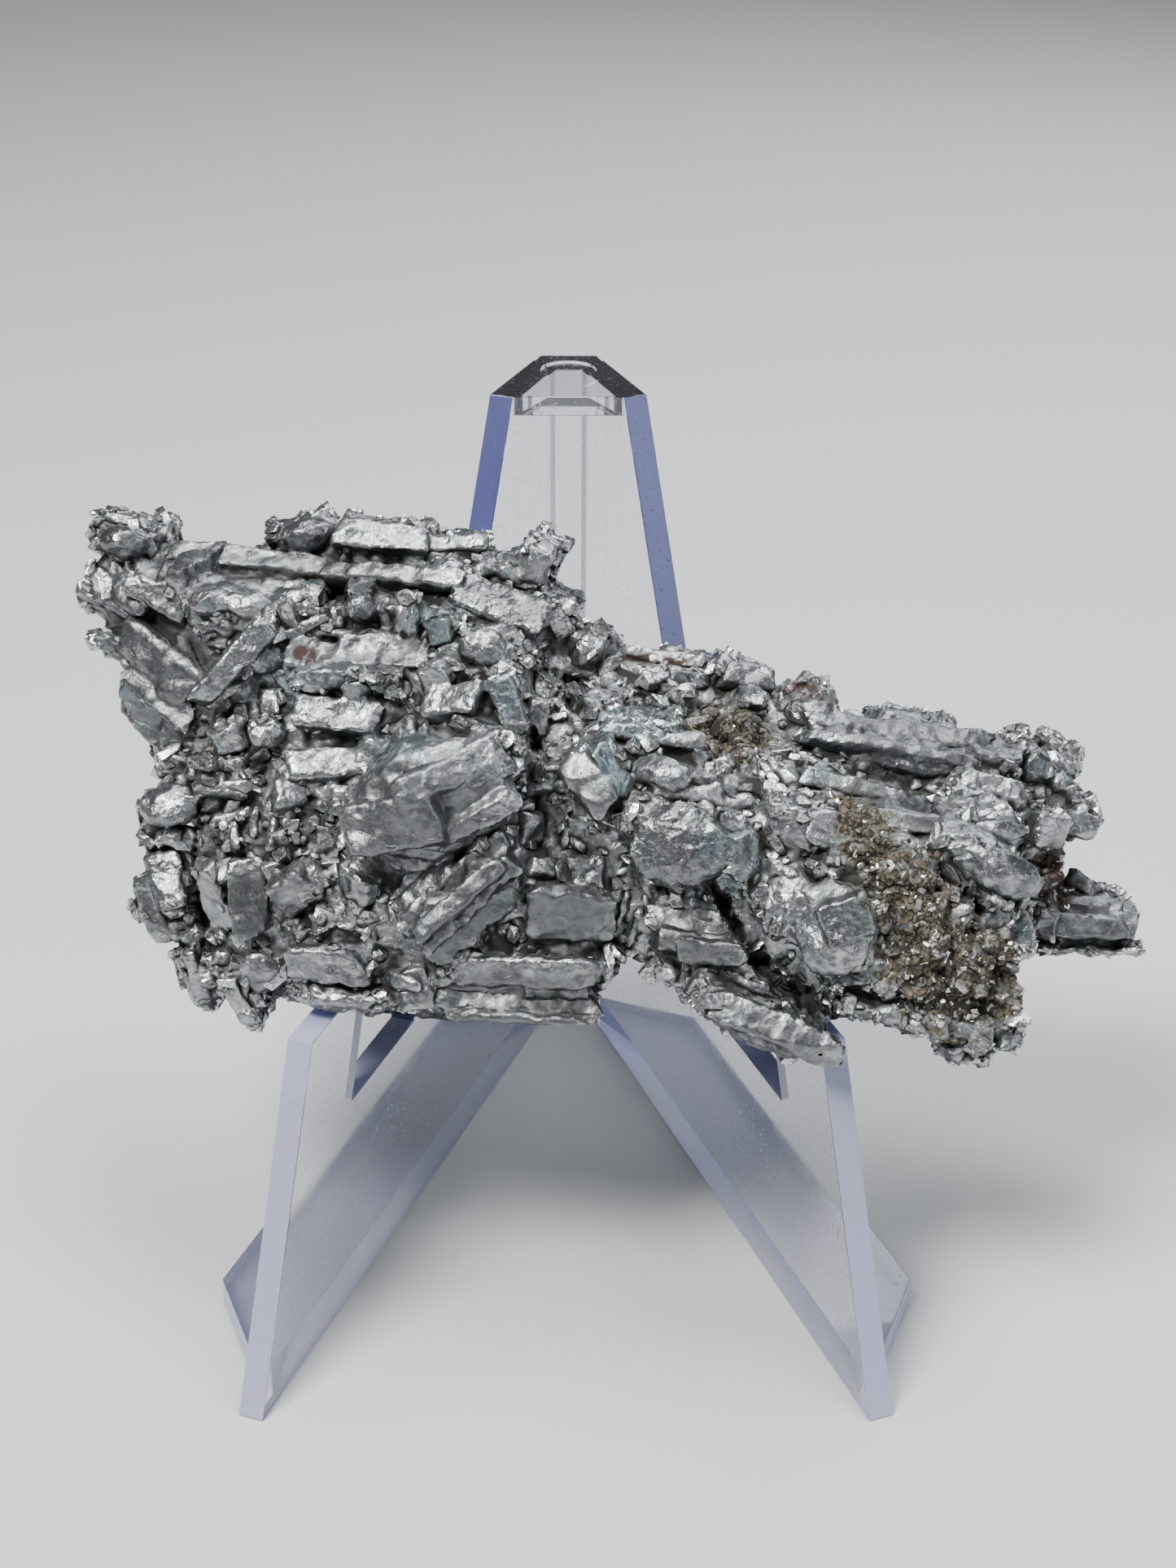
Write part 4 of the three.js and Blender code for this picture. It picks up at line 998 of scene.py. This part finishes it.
def makeCrumbs(stone):
    dice = random.Random(7)
    masters = [addMaster("slab", 60 + i, 0.3) for i in range(crumb["masters"])]
    faces = []
    for face in stone.data.polygons:
        if within(face.center, oxidePlaces, 0.7) > 0.45 and outOf(face.center) > crumb["front"] * mm:
            faces.append(face)
    pieces = []
    for spot, normal in spotsOn(stone, faces, crumb["count"], dice):
        half = dice.uniform(crumb["low"], crumb["high"]) * mm
        sizes = (half * dice.uniform(0.8, 1.6), half * dice.uniform(0.5, 1), half * dice.uniform(0.4, 0.8))
        pieces.append(layPiece(dice.choice(masters), spot, looseAim(normal, dice), sizes, dice.random()))
    dropMasters(masters)
    crumbs = joinAll(pieces, "oxideCrumbs")
    crumbs.data.materials.clear()
    crumbs.data.materials.append(crumbMaterial())
    print("crumbs laid:", len(pieces), "with", len(crumbs.data.polygons), "faces")
    return crumbs


standSize = {
    "bevel": 0.2,           # mm, the moulded edges' rounding
    "narrow": 3.8,          # mm, faces slimmer than this are the plates' edges
    "long": 5,              # mm, and they are longer than this
    "aside": 4.5,           # mm, nearer to the middle is the spine, which stays clear
    "restsFrom": 45,        # mm up
    "footTo": 1,
    "under": -0.3,          # faces turned down by more than this are seen as undersides
    "flat": 1,              # degrees, joins the facets of one plane
    "sharp": 25,            # degrees, sharper edges get the bevel
}
# tint, roughness and share of transmission of each clear plastic
plastics = [
    ("clearPlastic", (0.95, 0.96, 1, 1), 0.04, 1),
    ("clearPlasticEdge", (0.70, 0.73, 0.96, 1), 0.25, 0.5),
    ("clearPlasticRest", (0.15, 0.16, 0.35, 1), 0.2, 0.6),
    # the undersides: whitish and half clear, a painted reflection of the bright strip that the bottom faces
    # show
    ("clearPlasticUnderReflection", (0.94, 0.94, 0.98, 1), 0.3, 0.5),
]
plasticLook = {
    "bending": 1.49,        # index of refraction
    "depthTint": (0.45, 0.5, 0.85, 1),
    "depthDensity": 10,
    "scratched": 0.35,      # roughness of the scratches
    "haze": 0.08,
}


def clearPlastic(name, tint, rough, clear):
    material, tree, shader = newMaterial(name)
    place = objectPlace(tree)
    shader.inputs["Base Color"].default_value = tint
    shader.inputs["Transmission Weight"].default_value = clear
    shader.inputs["IOR"].default_value = plasticLook["bending"]
    scratchPlace = placedAt(tree, place, turn=(0.5, 0.9, 0.3), size=(9, 0.35, 0.35))
    scratches = steps(tree, noiseOf(tree, scratchPlace, 0.9, 3, 0.7), 0.63, 0.7)
    haze = steps(tree, noiseOf(tree, place, 14, 4), 0.45, 0.75, 0, plasticLook["haze"])
    rough = calc(tree, "ADD", mixValue(tree, scratches, rough, plasticLook["scratched"]), haze)
    tree.links.new(rough, shader.inputs["Roughness"])
    tree.links.new(bumpOf(tree, scratches, 0.02), shader.inputs["Normal"])
    depth = tree.nodes.new("ShaderNodeVolumeAbsorption")
    depth.inputs["Color"].default_value = plasticLook["depthTint"]
    depth.inputs["Density"].default_value = plasticLook["depthDensity"]
    tree.links.new(depth.outputs["Volume"], tree.nodes["Material Output"].inputs["Volume"])
    return material


def makeStand():
    stand = copyOfNode("display_stand", "clearStand")
    editAll()
    bpy.ops.mesh.dissolve_limited(angle_limit=math.radians(standSize["flat"]))
    bpy.ops.object.mode_set(mode="OBJECT")
    for name, tint, rough, clear in plastics:
        stand.data.materials.append(clearPlastic(name, tint, rough, clear))
    corners = stand.data.vertices
    for face in stand.data.polygons:
        longest = max((corners[a].co - corners[b].co).length for a, b in face.edge_keys)
        slim = face.area / longest < standSize["narrow"] * mm and longest > standSize["long"] * mm
        aside = abs(face.center.x - standMiddle) > standSize["aside"] * mm
        if slim and aside:
            face.material_index = 2 if face.center.z > standSize["restsFrom"] * mm else 1
        foot = face.center.z < standSize["footTo"] * mm
        # undersides of the plates' edges and of the feet get the whitish plastic, a painted reflection
        if face.normal.z < standSize["under"] and (slim or foot):
            face.material_index = 3
    useModifier(stand, "BEVEL", width=standSize["bevel"] * mm, segments=2, limit_method="ANGLE",
                angle_limit=math.radians(standSize["sharp"]))
    onlySelect(stand)
    bpy.ops.object.shade_flat()
    print("stand:", len(stand.data.polygons), "faces")
    return stand


def settle(piece, slot, *nodes):
    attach(piece, "root")
    if nodes:
        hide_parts(*nodes)


addCamera()
addStudio()
stone, stoneBlocks, stoneChips = makeStone()
settle(stone, "meteorite_metal", "meteorite")
settle(stoneBlocks, "meteorite_metal")
settle(stoneChips, "meteorite_metal")
settle(makeCrumbs(stone), "meteorite_metal")
settle(makeStand(), "clear_plastic", "display_stand")
